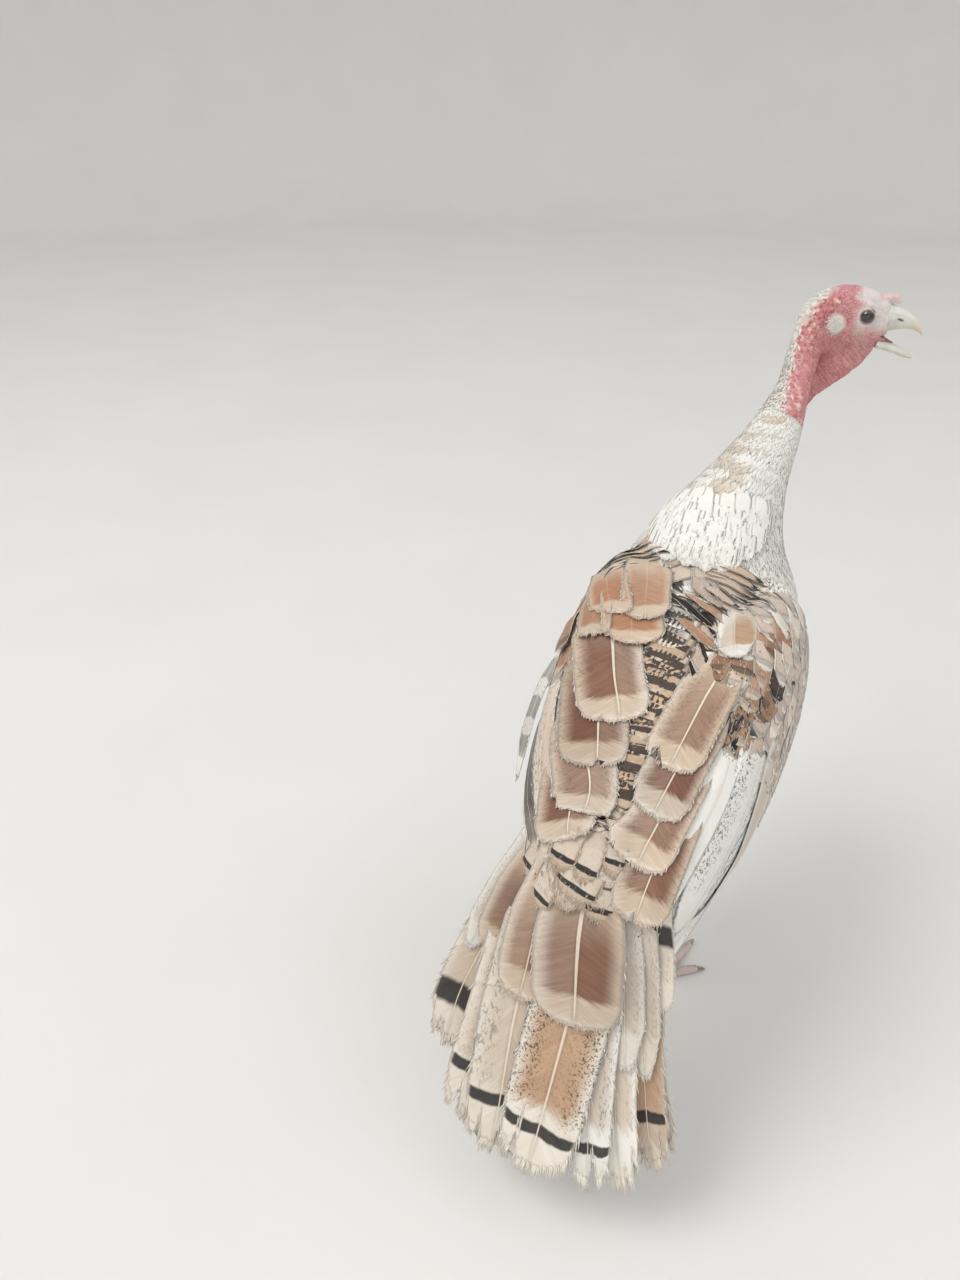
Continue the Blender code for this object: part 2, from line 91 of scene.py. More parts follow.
def vertNormals(mesh):
    flat = np.empty(len(mesh.vertices) * 3)
    mesh.vertices.foreach_get("normal", flat)
    return flat.reshape(-1, 3)


def setPlaces(mesh, co):
    mesh.vertices.foreach_set("co", co.ravel())
    mesh.update()


# how far each vertex is from the middle of its neighbours
def towardsMiddle(co, edges):
    degree = np.bincount(edges.ravel(), minlength=len(co)).clip(1)[:, None]
    total = np.column_stack([np.bincount(edges[:, 0], co[edges[:, 1], k], len(co))
                             + np.bincount(edges[:, 1], co[edges[:, 0], k], len(co)) for k in range(3)])
    return total / degree - co


# a lasting smooth that keeps thin ends: a shrinking pass, then a swelling one
def relax(mesh, rounds):
    co, edges = meshArrays(mesh)
    for turn in range(rounds * 2):
        co = co + towardsMiddle(co, edges) * (0.5 if turn % 2 == 0 else -0.52)
    setPlaces(mesh, co)


def bmeshOf(mesh):
    bm = bmesh.new()
    bm.from_mesh(mesh)
    return bm


def meshOf(bm, name):
    mesh = bpy.data.meshes.new(name)
    bm.to_mesh(mesh)
    bm.free()
    return mesh


def addTo(bm, part):
    piece = meshOf(part, "part")
    bm.from_mesh(piece)
    bpy.data.meshes.remove(piece)


# copies of the named solids in one bmesh, swollen a little so that they meet
def gathered(names, grow=0.0004):
    bm = bmesh.new()
    for name in names:
        part = bmeshOf(nodes[name].data)
        bmesh.ops.remove_doubles(part, verts=part.verts, dist=0.00001)
        part.normal_update()
        moves = [v.normal * grow * min(v.calc_shell_factor(), 2.0) for v in part.verts]
        for v, move in zip(part.verts, moves):
            v.co += move
        addTo(bm, part)
    return bm


# everything that edges join to the given vertices
def joinedTo(verts):
    found = set(verts)
    front = list(verts)
    while front:
        for e in front.pop().link_edges:
            for v in e.verts:
                if v not in found:
                    found.add(v)
                    front.append(v)
    return list(found)


# removes the loose specks that thin edges leave behind
def dropCrumbs(mesh, fewest):
    bm = bmeshOf(mesh)
    unseen = set(bm.verts)
    crumbs = []
    while unseen:
        island = joinedTo([unseen.pop()])
        unseen.difference_update(island)
        if len(island) < fewest:
            crumbs += island
    bmesh.ops.delete(bm, geom=crumbs, context="VERTS")
    bm.to_mesh(mesh)
    bm.free()


# one closed mesh round everything in bm
def remeshed(bm, voxel, rounds, crumbs=600):
    obj = bpy.data.objects.new("remesh", meshOf(bm, "remesh"))
    bpy.context.scene.collection.objects.link(obj)
    grid = obj.modifiers.new("grid", "REMESH")
    grid.mode = "VOXEL"
    grid.voxel_size = voxel
    bpy.context.view_layer.update()
    made = bpy.data.meshes.new_from_object(obj.evaluated_get(bpy.context.evaluated_depsgraph_get()))
    bpy.data.objects.remove(obj)
    dropCrumbs(made, crumbs)
    relax(made, rounds)
    return made


def cutAway(bm, point, normal, cap=False):
    cut = bmesh.ops.bisect_plane(bm, geom=bm.verts[:] + bm.edges[:] + bm.faces[:], dist=0.000001,
                                 plane_co=point, plane_no=normal, clear_outer=True)
    if cap:
        bmesh.ops.holes_fill(bm, edges=[e for e in cut["geom_cut"] if isinstance(e, bmesh.types.BMEdge)])


def treeOf(mesh):
    bm = bmeshOf(mesh)
    tree = BVHTree.FromBMesh(bm)
    bm.free()
    return tree


def shown(name, mesh, material, stands=()):
    mesh.name = name
    mesh.materials.clear()
    mesh.materials.append(material)
    if "sharp_face" in mesh.attributes:
        mesh.attributes.remove(mesh.attributes["sharp_face"])
    mesh.shade_smooth()
    obj = bpy.data.objects.new(name, mesh)
    bpy.context.scene.collection.objects.link(obj)
    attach(obj, "root")
    if stands:
        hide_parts(*stands)
    return obj


class Wire:
    # a node's output that sums and products can be written with
    def __init__(self, maker, socket):
        self.maker, self.socket = maker, socket

    def __add__(self, other):
        return self.maker.math("ADD", self, other)

    def __sub__(self, other):
        return self.maker.math("SUBTRACT", self, other)

    def __rsub__(self, other):
        return self.maker.math("SUBTRACT", other, self)

    def __mul__(self, other):
        return self.maker.math("MULTIPLY", self, other)

    def __truediv__(self, other):
        return self.maker.math("DIVIDE", self, other)

    def __abs__(self):
        return self.maker.math("ABSOLUTE", self)


class Maker:
    # builds nodes with few words and hands back their outputs as wires
    def __init__(self, tree):
        self.tree = tree

    def put(self, socket, value):
        if isinstance(value, Wire):
            self.tree.links.new(value.socket, socket)
        else:
            socket.default_value = value

    # a new node with its settings, and its inputs by number or name
    def node(self, kind, inputs=(), **settings):
        node = self.tree.nodes.new("ShaderNode" + kind)
        for name, value in settings.items():
            setattr(node, name, value)
        for key, value in (inputs.items() if isinstance(inputs, dict) else enumerate(inputs)):
            self.put(node.inputs[key], value)
        return node

    def wires(self, node):
        return {socket.name: Wire(self, socket) for socket in node.outputs}

    def math(self, operation, *values, clamp=False):
        return Wire(self, self.node("Math", values, operation=operation, use_clamp=clamp).outputs[0])

    def most(self, first, second):
        return self.math("MAXIMUM", first, second)

    def least(self, first, second):
        return self.math("MINIMUM", first, second)

    def ramp(self, value, low, high, start=0.0, end=1.0):
        node = self.node("MapRange", (value, low, high, start, end), interpolation_type="SMOOTHSTEP")
        return Wire(self, node.outputs[0])

    def mix(self, share, first, second, blend="MIX"):
        node = self.node("Mix", {0: share, 6: first, 7: second}, data_type="RGBA", blend_type=blend)
        return Wire(self, node.outputs[2])

    def noise(self, vector, scale, detail=2.0, rough=0.5, distortion=0.0):
        return self.wires(self.node("TexNoise", {"Vector": vector, "Scale": scale, "Detail": detail,
                                                 "Roughness": rough, "Distortion": distortion}))["Fac"]

    def vector(self, x, y, z):
        return Wire(self, self.node("CombineXYZ", (x, y, z)).outputs[0])

    def parts(self, vector):
        return [Wire(self, socket) for socket in self.node("SeparateXYZ", (vector,)).outputs]

    def attribute(self, name):
        return self.wires(self.node("Attribute", attribute_name=name))

    def spot(self):
        return self.wires(self.node("TexCoord"))["Object"]

    def uv(self, name):
        return Wire(self, self.node("UVMap", uv_map=name).outputs[0])

    def bump(self, height, strength, distance):
        return Wire(self, self.node("Bump", {"Strength": strength, "Distance": distance,
                                             "Height": height}).outputs[0])


# a material whose shader's inputs are what fill(maker) gives
def newMaterial(name, fill):
    material = bpy.data.materials.new(name)
    material.use_nodes = True
    make = Maker(material.node_tree)
    for socket, value in fill(make).items():
        make.put(material.node_tree.nodes["Principled BSDF"].inputs[socket], value)
    return material


def newGroup(name, inputs, outputs):
    tree = bpy.data.node_groups.new(name, "ShaderNodeTree")
    for way, rows in (("INPUT", inputs), ("OUTPUT", outputs)):
        for label, kind in rows:
            tree.interface.new_socket(label, in_out=way, socket_type="NodeSocket" + kind)
    make = Maker(tree)
    return tree, make, make.wires(tree.nodes.new("NodeGroupInput")), tree.nodes.new("NodeGroupOutput").inputs


# the bird's own measures in metres; lines of places are written in millimetres
head = {"place": (-0.0722, -0.2900, 0.6640), "turn": math.radians(80), "eyeSide": 0.0112, "eyeRadius": 0.0082}
headFrame = Matrix.Translation(head["place"]) @ Matrix.Rotation(-math.pi / 2 - head["turn"], 4, "Z")
headBack = headFrame.inverted()
bodyLine = metres([     # from the rump to the throat: x, y, z of the middle
    (5, 205, 285), (6, 165, 289), (6, 120, 298), (6, 64, 312), (6, 2, 332), (7, -48, 357), (9, -86, 388),
    (9, -108, 422), (8, -119, 455), (4, -130, 484), (-3, -146, 511), (-10, -168, 536), (-17, -195, 559),
    (-21, -222, 580), (-23, -244, 600), (-24, -262, 623)])
wingLine = metres([     # from the shoulder to the tip: outwards, y, z of the middle
    (50, -120, 420), (55, -102, 408), (58, -53, 382), (58, 2, 356), (55, 62, 330), (50, 117, 311), (45, 162, 298),
    (41, 197, 288), (39, 217, 283)])
# each wing's side of the body and its shift from the line above
wingMove = {"right": (-1.0, 0.0028, 0.000, 0.000), "left": (1.0, 0.0068, -0.006, 0.012)}
fan = {"root": (0.0148, 0.1200, 0.4900), "tip": (0.0098, 0.3080, 0.0690), "roof": 2.8}
neckCut = ((-0.0185, -0.208, 0.568), (-0.09, -0.76, 0.64))
kneeCut = 0.152
sides = ("right", "left")
toeNames = [kind + "_" + side for side in sides for kind in ("middle", "inner", "outer", "hind")]
fleshNodes = (["trunk", "neck_feathered", "neck_bare", "head", "snood", "dewlap", "vent_feathers", "tail_coverts"]
              + [part + "_" + side for side in sides for part in ("wing", "thigh", "shank")]
              + ["toe_" + toe for toe in toeNames])


def runLengths(points):
    return np.concatenate([[0], np.cumsum(np.linalg.norm(np.diff(points, axis=0), axis=1))])


# count places evenly along a line, its corners rounded
def smoothLine(points, count):
    points = np.array([tuple(p) for p in points], float)
    lengths = runLengths(points)
    at = np.linspace(0, lengths[-1], count)
    line = np.column_stack([np.interp(at, lengths, points[:, axis]) for axis in range(points.shape[1])])
    for _ in range(3):
        line[1:-1] = 0.25 * line[:-2] + 0.5 * line[1:-1] + 0.25 * line[2:]
    return line


fanRoot = Vector(fan["root"])
fanAlong = Vector(fan["tip"]) - fanRoot
fanAlong.normalize()
fanAcross = fanAlong.cross(Vector((0, 0, 1))).normalized()
fanOut = fanAcross.cross(fanAlong)
if fanOut.y < 0:
    fanOut = -fanOut


def fanPoint(sideways, down, lift):
    return fanRoot + fanAlong * down + fanAcross * sideways + fanOut * (lift - fan["roof"] * sideways ** 2)


# the line across the back where the white mantle ends, as y for x
def mantleEdge(x):
    return -0.045 - 7.0 * (x - 0.004) ** 2


# ground colour of the plumage at places in metres, for the skin under the feathers
def plumageGround(places):
    x, y, z = places.T
    line = mantleEdge(x)
    return layered(np.tile(np.array(tint["cream"]), (len(places), 1)), (
        (tint["buff"], 0.6 * step(0.03, 0.13, y)),
        (tint["cinnamon"], 0.75 * step(line, line + 0.03, y) * step(0.37, 0.41, z) * (1 - step(0.10, 0.14, y))),
        (tint["white"], step(-0.010, 0.012, line - y)),
        (tint["buff"], 0.75 * step(0.520, 0.560, z) * step(-0.205, -0.150, y))))


# a soft round patch in the head's side view, in mm
def patch(x, z, middleX, middleZ, wide, high):
    return np.exp(-((x - middleX) / wide) ** 2 - ((z - middleZ) / high) ** 2)


# how far out of the ear a place is, 1 at a rim of these half measures in mm
def earGap(x, z, wide, high):
    return np.hypot((x + 26.7) / wide, (z + 8) / high)


# colour of the bare head and neck; places are in the head's frame, in metres
def faceTone(places):
    x, y, z = places.T * 1000
    mottle, fine, fleck = (noiseAt(places, scale) for scale in (150, 520, 1100))
    streak = noiseAt(np.column_stack([places[:, 0] * 420 + places[:, 2] * 420, places[:, 1] * 60,
                                      (places[:, 2] - places[:, 0]) * 60]))
    rough = 7 * mottle + 3 * fine
    ring = np.hypot(x, z)
    base = blendTint(srgb(198, 124, 124), srgb(168, 72, 84), step(-0.35, 0.4, mottle + 0.7 * fine))
    return layered(base, (
        (srgb(176, 84, 102), 0.75 * step(2, 12, z + 3 * fine) * step(-2, -12, x) * step(-48, -38, x)),      # crown
        (srgb(196, 98, 104), 0.6 * step(-24, -40, z) * step(-60, -46, x)),                                  # throat
        (srgb(180, 56, 70), 0.6 * step(-44, -62, z + 0.5 * (x + 30) + 5 * mottle) * step(-52, -40, x)),
        (srgb(176, 68, 80), 0.7 * patch(x, z, -34, -30, 11, 9)),
        # pale throat streaks: partly the skin's own paler streaks, partly painted highlights along its folds
        (srgb(222, 164, 156), 0.55 * step(0.05, 0.4, streak) * step(-22, -32, z)),
        (srgb(212, 166, 158), 0.65 * step(0.0, 0.45, fine) * step(-16, -4, x) * step(-30, -20, z)),
        (srgb(214, 210, 207), 0.95 * step(-15, -3, x + rough) * step(-20, -9, z + rough)),                  # face
        (srgb(220, 218, 214), 0.8 * step(7, 16, x) * step(-14, -8, z) * step(15, 11, z)),
        (srgb(204, 150, 142), 0.5 * step(-6, -12, z) * step(-26, -18, z) * step(-16, -6, x)
         * step(-0.3, 0.3, mottle + fine)),
        (srgb(216, 176, 174), 0.8 * step(8, 10, x) * step(13.5, 15, z)),
        (srgb(228, 200, 194), 0.4 * step(0.15, 0.4, fleck)),
        (srgb(218, 218, 212), 0.95 * (1 - step(0.72, 1.10, earGap(x, z, 8.8, 10.0)))),                      # ear
        (srgb(212, 204, 202), 0.8 * step(10.0, 8.2, ring)),                                                 # lids
        (srgb(86, 70, 68), 0.9 * step(7.8, 6.6, ring) * step(-20, 0, x + 20)),
        (srgb(96, 44, 44), 0.9 * step(8, 11, x) * step(-26, -22, z) * step(-13.5, -15.5, z)                 # mouth
         * step(6.5, 4.5, np.abs(y))),
        (srgb(206, 196, 188), 0.9 * step(4, -4, x - napeEdge(z) + 5 * mottle))))                            # nape


# where the pale down of the nape gives way to red skin: x in mm for z in mm, in the head's frame
def napeEdge(z):
    return np.interp(z, (-105, -76, -50, -28, -10, 8, 18), (-60, -62, -62, -60, -54, -46, -34))


skinSet = {"bodyGrid": 0.0042, "headGrid": 0.00096, "legGrid": 0.0014, "coat": 0.0055, "neckCoat": 0.0025,
           "thinShare": 0.28, "beadTries": 3600, "lidRing": 0.0064, "lid": 0.00125, "lidSide": 0.0168,
           "throatTurns": 26, "throatSteps": 18}


def envelopeMesh():
    names = ["trunk", "neck_feathered", "vent_feathers", "tail_coverts", "wing_left", "wing_right",
             "thigh_left", "thigh_right"]
    return remeshed(gathered(names), skinSet["bodyGrid"], 9)


# the coat's outer face sunk by its depth, less where the body is thin
def sunkSkin(envelope, tree):
    mesh = envelope.copy()
    co, _ = meshArrays(mesh)
    normals = vertNormals(mesh)
    depth = np.empty(len(co))
    for i, (place, normal) in enumerate(zip(co, normals)):
        inward = Vector(normal) * -1
        hit, _, _, far = tree.ray_cast(Vector(place) + inward * 0.0005, inward)
        depth[i] = skinSet["thinShare"] * far if hit is not None else 0.004
    wanted = skinSet["coat"] + (skinSet["neckCoat"] - skinSet["coat"]) * step(0.47, 0.52, co[:, 2])
    wanted = wanted * (0.25 + 0.75 * step(0.155, 0.185, co[:, 2]))
    setPlaces(mesh, co - normals * np.minimum(wanted, depth)[:, None])
    relax(mesh, 4)
    return mesh


def inHead(places):
    return np.array([headBack @ Vector(p) for p in places])


# random places on a mesh, kept where wanted(x, y, z) in the head's frame and mm says so
def scatter(mesh, count, wanted):
    mesh.calc_loop_triangles()
    corners = np.empty(len(mesh.loop_triangles) * 3, np.int32)
    mesh.loop_triangles.foreach_get("vertices", corners)
    a, b, c = np.moveaxis(meshArrays(mesh)[0][corners.reshape(-1, 3)], 1, 0)
    normals = np.cross(b - a, c - a)
    areas = np.linalg.norm(normals, axis=1) * (a[:, 2] > 0.53)
    picks = rng.choice(len(areas), count, p=areas / areas.sum())
    u, v = rng.random((2, count, 1))
    u, v = np.where(u + v > 1, 1 - u, u), np.where(u + v > 1, 1 - v, v)
    places = a[picks] + (b - a)[picks] * u + (c - a)[picks] * v
    local = inHead(places) * 1000
    keep = wanted(*local.T)
    return [(Vector(p), Vector(n).normalized()) for p, n in zip(places[keep], normals[picks][keep])]


beadsMade = []


# fleshy beads: a band down the nape's edge and a crowd on the lower bare neck
def addBeads(bm):
    mesh = bpy.data.meshes.new("bare")
    bm.to_mesh(mesh)

    def band(x, y, z):
        gap = x - napeEdge(z) + rng.normal(0, 1.5, len(x))
        low = (z < -62) & (gap > -4) & (gap < 13)
        return low | ((gap > -2) & (gap < 5 + 8 * (z > -34)) & (z < 16) & (z > -64))

    for place, normal in scatter(mesh, skinSet["beadTries"], band):
        low = 1 - float(step(0.585, 0.625, place.z))
        radius = rng.uniform(0.0013, 0.0022) + 0.0003 * low
        middle = place + normal * radius * 0.45
        if all((middle - other).length > 0.75 * (radius + size) for other, size in beadsMade):
            made = bmesh.ops.create_icosphere(bm, subdivisions=2, radius=radius)
            bmesh.ops.translate(bm, verts=made["verts"], vec=middle)
            beadsMade.append((middle, radius))


def addLids(bm):
    for side in (1, -1):
        circle = bmesh.ops.create_circle(bm, segments=10, radius=skinSet["lid"])["verts"]
        bmesh.ops.translate(bm, verts=circle, vec=(skinSet["lidRing"], 0, 0))
        rim = list({e for v in circle for e in v.link_edges})
        bmesh.ops.rotate(bm, verts=circle, matrix=Matrix.Rotation(math.pi / 2, 3, "X"))
        bmesh.ops.spin(bm, geom=rim, cent=(0, 0, 0), axis=(0, 0, 1), angle=2 * math.pi, steps=36, use_merge=True)
        put = headFrame @ Matrix.Translation((0.0, side * skinSet["lidSide"], 0.0))
        put = put @ Matrix.Diagonal((1.06, 1.0, 0.94, 1.0)) @ Matrix.Rotation(math.pi / 2, 4, "X")
        bmesh.ops.transform(bm, verts=joinedTo(circle), matrix=put)


# skin stretches over the hollow between neck and throat: only outward moves are kept
def filledThroat(mesh, co, where):
    _, edges = meshArrays(mesh)
    where = where[:, None]
    for _ in range(skinSet["throatTurns"]):
        normals = vertNormals(mesh)
        for _ in range(skinSet["throatSteps"]):
            move = towardsMiddle(co, edges)
            outward = np.sum(move * normals, axis=1)[:, None]
            co = co + normals * (np.maximum(outward, 0) * where) + (move - normals * outward) * 0.3 * where
        setPlaces(mesh, co)
    return co


# wrinkles, brow, cheek and throat folds, in the head's frame
def sculptHead(mesh):
    co, _ = meshArrays(mesh)
    normals = vertNormals(mesh)
    local = inHead(co)
    x, y, z = local.T * 1000
    face = step(8.2, 13, np.hypot(x, z)) * step(26, 18, x)
    lump = noiseAt(local * (150, 150, 190))
    fold = noiseAt(local * (260, 120, 560))
    drape = noiseAt(np.column_stack([local[:, 0] * 620 + local[:, 2] * 330, local[:, 1] * 90, local[:, 2] * 150]))
    under = step(-24, -36, z)
    co = filledThroat(mesh, co, step(-12, -24, z) * step(-92, -80, z) * step(14, 2, x))
    move = 0.45 * lump * face + 0.42 * (0.45 - np.abs(fold)) * face * (1 - under)
    move += 0.75 * (0.4 - np.abs(drape)) * under * step(-66, -40, x)
    move += 1.3 * patch(x, z, -1, 9.6, 8, 2.6)                                 # brow
    move += 0.9 * patch(x, z, -12, -7, 7, 6)                                   # cheek
    move -= 0.8 * patch(x, z, 11, -5, 4, 6)                                    # corner of the bill
    move += 0.7 * np.exp(-earGap(x, z, 7.5, 9.0) ** 4)                         # ear, and the groove round it
    move -= 0.6 * np.exp(-((earGap(x, z, 8.6, 10.4) - 1.15) / 0.14) ** 2)
    setPlaces(mesh, co + normals * (move / 1000)[:, None])


def headMesh():
    bm = gathered(["head", "neck_bare", "dewlap", "snood"], 0.0003)
    throat = gathered(["neck_feathered"], 0.0003)
    low = Vector(neckCut[0]) - Vector(neckCut[1]).normalized() * 0.006
    cutAway(throat, low, -Vector(neckCut[1]), cap=True)
    addTo(bm, throat)
    addBeads(bm)
    addLids(bm)
    mesh = remeshed(bm, skinSet["headGrid"], 4)
    sculptHead(mesh)
    return mesh


def legMesh():
    bm = gathered([part + "_" + side for side in sides for part in ("thigh", "shank")], 0.0003)
    cutAway(bm, (0, 0, kneeCut + 0.008), (0, 0, 1), cap=True)
    addTo(bm, gathered(["toe_" + toe for toe in toeNames], 0.0003))
    return remeshed(bm, skinSet["legGrid"], 4)


# the loops of open edges in bm, each as a list of edges
def openLoops(bm):
    loops, seen = [], set()
    for start in [e for e in bm.edges if e.is_boundary]:
        if start in seen:
            continue
        seen.add(start)
        loop = [start]
        for edge in loop:                        # the loop grows as it is walked
            for v in edge.verts:
                for e in v.link_edges:
                    if e.is_boundary and e not in seen:
                        seen.add(e)
                        loop.append(e)
        loops.append(loop)
    return loops


def middleOf(loop):
    return sum((v.co for e in loop for v in e.verts), Vector()) / (2 * len(loop))


def makeSkin(envelope, tree):
    body = bmeshOf(sunkSkin(envelope, tree))
    upward = Vector(neckCut[1]).normalized()
    cutAway(body, Vector(neckCut[0]) - upward * 0.001, upward)
    cutAway(body, (0, 0, kneeCut + 0.001), (0, 0, -1))
    for made, point, normal in ((headMesh(), Vector(neckCut[0]) + upward * 0.001, -upward),
                                (legMesh(), Vector((0, 0, kneeCut - 0.001)), Vector((0, 0, 1)))):
        part = bmeshOf(made)
        cutAway(part, point, normal)
        addTo(body, part)
    # each open end is joined to the nearest one
    loops = openLoops(body)
    while len(loops) > 1:
        first = loops.pop()
        second = min(loops, key=lambda loop: (middleOf(loop) - middleOf(first)).length)
        loops.remove(second)
        bmesh.ops.bridge_loops(body, edges=first + second)
    bmesh.ops.recalc_face_normals(body, faces=body.faces)
    mesh = meshOf(body, "turkey_skin")
    paintSkin(mesh)
    return mesh


def paintSkin(mesh):
    beadTree = KDTree(len(beadsMade))
    for k, (place, _) in enumerate(beadsMade):
        beadTree.insert(place, k)
    beadTree.balance()
    co, _ = meshArrays(mesh)
    # the skin under the feathers takes the plumage's colours at 0.8 of their brightness: painted shade beneath the
    # coat
    colour = plumageGround(co) * 0.8
    bareHead = (co - np.array(neckCut[0])) @ np.array(Vector(neckCut[1]).normalized()) > 0
    tones = faceTone(inHead(co[bareHead]))
    for k, p in enumerate(co[bareHead]):
        found, index, far = beadTree.find(p)
        inside = far / beadsMade[index][1]
        if inside < 1.25:
            # bead tops: two of the beads' own reds, and on every third bead a painted cream highlight
            top = (srgb(192, 84, 90), srgb(206, 112, 112), srgb(226, 190, 174))[index % 3]
            tones[k] = blendTint(srgb(148, 50, 62), top, float(step(0.80, 1.0, inside)))
    colour[bareHead] = tones
    colour[co[:, 2] < 0.150] = srgb(206, 186, 180)                             # legs
    tone = mesh.attributes.new("tone", "FLOAT_COLOR", "POINT")
    tone.data.foreach_set("color", np.column_stack([colour, np.where(bareHead, 1.0, 0.0)]).ravel())


def bareSkin(make):
    tone = make.attribute("tone")
    pores = make.noise(make.spot(), 900.0, 3.0, 0.6)
    veins = make.noise(make.spot(), 260.0, 2.0, 0.55, 0.6)
    flush = make.ramp(veins, 0.42, 0.70, 0.0, 0.20) * tone["Alpha"]
    colour = make.mix(flush, tone["Color"], paint(166, 66, 76))
    return {"Base Color": make.mix(make.ramp(pores, 0.35, 0.65, 0.0, 0.34), colour, paint(232, 212, 206)),
            "Normal": make.bump(pores, 0.35, 0.0004), "Roughness": make.ramp(pores, 0.3, 0.7, 0.42, 0.62),
            "Subsurface Weight": 0.06, "Subsurface Radius": (0.004, 0.0015, 0.001), "Subsurface Scale": 1.0}


envelope = envelopeMesh()
coatTree = treeOf(envelope)
print("envelope", len(envelope.vertices))
skin = shown("turkey_skin", makeSkin(envelope, coatTree), newMaterial("bare_skin", bareSkin), fleshNodes)
print("skin", sum(len(p.vertices) - 2 for p in skin.data.polygons), "triangles")


# every kind of feather: ground, centre and edge colours, then how strong its markings are (blotch, bar, speckle,
# fringe) and where they lie (blotch from, bar at and half depth, 0 root to 1 tip; last, bands or a dark rim)
kinds = {
    "white": ("white white white", (0.0, 0.0, 0.0, 0.2), (0.1, 0.8, 0.03, 0.0)),
    "soft": ("cream buff white", (0.45, 0.0, 0.0, 0.3), (0.1, 0.8, 0.03, 0.0)),
    "cream": ("cream buff white", (0.55, 0.0, 0.0, 0.8), (0.1, 0.8, 0.03, 0.0)),
    "fringed": ("cream cinnamon white", (0.50, 0.0, 0.25, 0.8), (0.0, 0.8, 0.03, -0.4)),
    "stripe": ("cream tan cream", (0.70, 0.0, 0.0, 1.3), (-0.3, 0.8, 0.03, -1.0)),
    "plate": ("buff cinnamon cream", (1.0, 0.0, 0.1, 0.8), (0.05, 0.8, 0.03, 0.0)),
    "orange": ("buff cinnamon cream", (1.0, 0.0, 0.30, 0.7), (-0.1, 0.8, 0.03, -0.3)),
    "darkEdge": ("tan cinnamon cream", (0.9, 0.0, 0.0, 1.2), (-0.2, 0.8, 0.03, -2.0)),
    "banded": ("cream grey white", (0.5, 0.0, 0.6, 0.1), (0.1, 0.62, 0.12, 1.0)),
    "backBar": ("white cream white", (0.3, 1.0, 0.0, 0.3), (0.1, 0.76, 0.10, 0.0)),
    "dark": ("black brown white", (0.35, 0.0, 0.0, 1.0), (0.0, 0.8, 0.03, 0.0)),
    "cinnamon": ("cinnamon brown cream", (0.50, 0.0, 0.15, 1.0), (0.1, 0.8, 0.03, 0.0)),
    "spotted": ("tan brown cream", (0.60, 0.7, 0.2, 0.8), (0.1, 0.84, 0.07, 0.0)),
    "barred": ("white grey white", (0.3, 0.0, 0.6, 0.7), (0.1, 0.62, 0.12, 0.5)),
    "rump": ("buff cream cream", (0.50, 0.85, 0.0, 0.6), (0.1, 0.76, 0.085, 0.0)),
    "plainRump": ("buff cream cream", (0.50, 0.0, 0.15, 0.6), (0.1, 0.72, 0.06, 0.0)),
    "belly": ("cream buff white", (0.35, 0.0, 0.1, 0.6), (0.1, 0.8, 0.05, 0.0)),
    "tertial": ("buff brown cream", (0.95, 0.0, 0.35, 0.9), (0.0, 0.8, 0.04, 0.0)),
    "innerVane": ("cream cinnamon white", (0.45, 0.0, 1.3, 0.7), (0.1, 0.9, 0.04, 0.0)),
    "secondary": ("white cream white", (0.2, 0.0, 0.8, 0.5), (0.1, 0.9, 0.04, 0.0)),
    "primary": ("white cream white", (0.35, 0.0, 0.5, 0.8), (0.1, 0.9, 0.04, 0.0)),
    # the left wing's primaries: their grey and black are partly their own dark edges, partly painted shade of the
    # wing's shadowed side
    "shadedDarkPrimary": ("grey black cream", (0.8, 0.0, 1.5, 0.9), (0.1, 0.9, 0.04, 0.0)),
    "covert": ("buff brown cream", (1.0, 0.0, 0.1, 0.9), (0.02, 0.8, 0.04, 0.0)),
    "whiteCovert": ("cream buff white", (0.7, 0.0, 0.3, 0.8), (0.2, 0.8, 0.04, 0.0)),
    "barCovert": ("cream buff white", (0.3, 1.0, 0.3, 0.5), (0.2, 0.47, 0.085, 0.0)),
    "tail": ("buff cinnamon cream", (0.45, 1.0, 0.9, 0.5), (0.25, 0.80, 0.030, 0.0)),
    "down": ("white cream white", (0.3, 0.0, 0.0, 0.4), (0.0, 0.8, 0.03, 0.0)),
}


# one row of colours and marks for a feather; change gives colours, marks, lay, shaft or web of its own
def styleRow(kind, **change):
    colours, marks, lay = kinds[kind]
    calm = 0.3 if kind in ("rump", "plainRump") or colours.startswith("white") else 1.0
    marks, lay = list(change.get("marks", marks)), list(change.get("lay", lay))
    shade = rng.normal(1.0, 0.055 * calm)
    warm = rng.normal(0.0, 0.018 * calm)
    row = []
    for slot, name in enumerate(change.get("colours", colours).split()):
        colour = np.array(tint[name]) * shade * (1 + warm, 1, 1 - warm)
        row += list(np.clip(colour, 0, 1)) + [(rng.random(), change.get("shaft", 1.0), change.get("web", 0.0))[slot]]
    marks[0] *= rng.uniform(0.75, 1.1)
    lay[1] += rng.normal(0, 0.012)
    return row + marks + lay


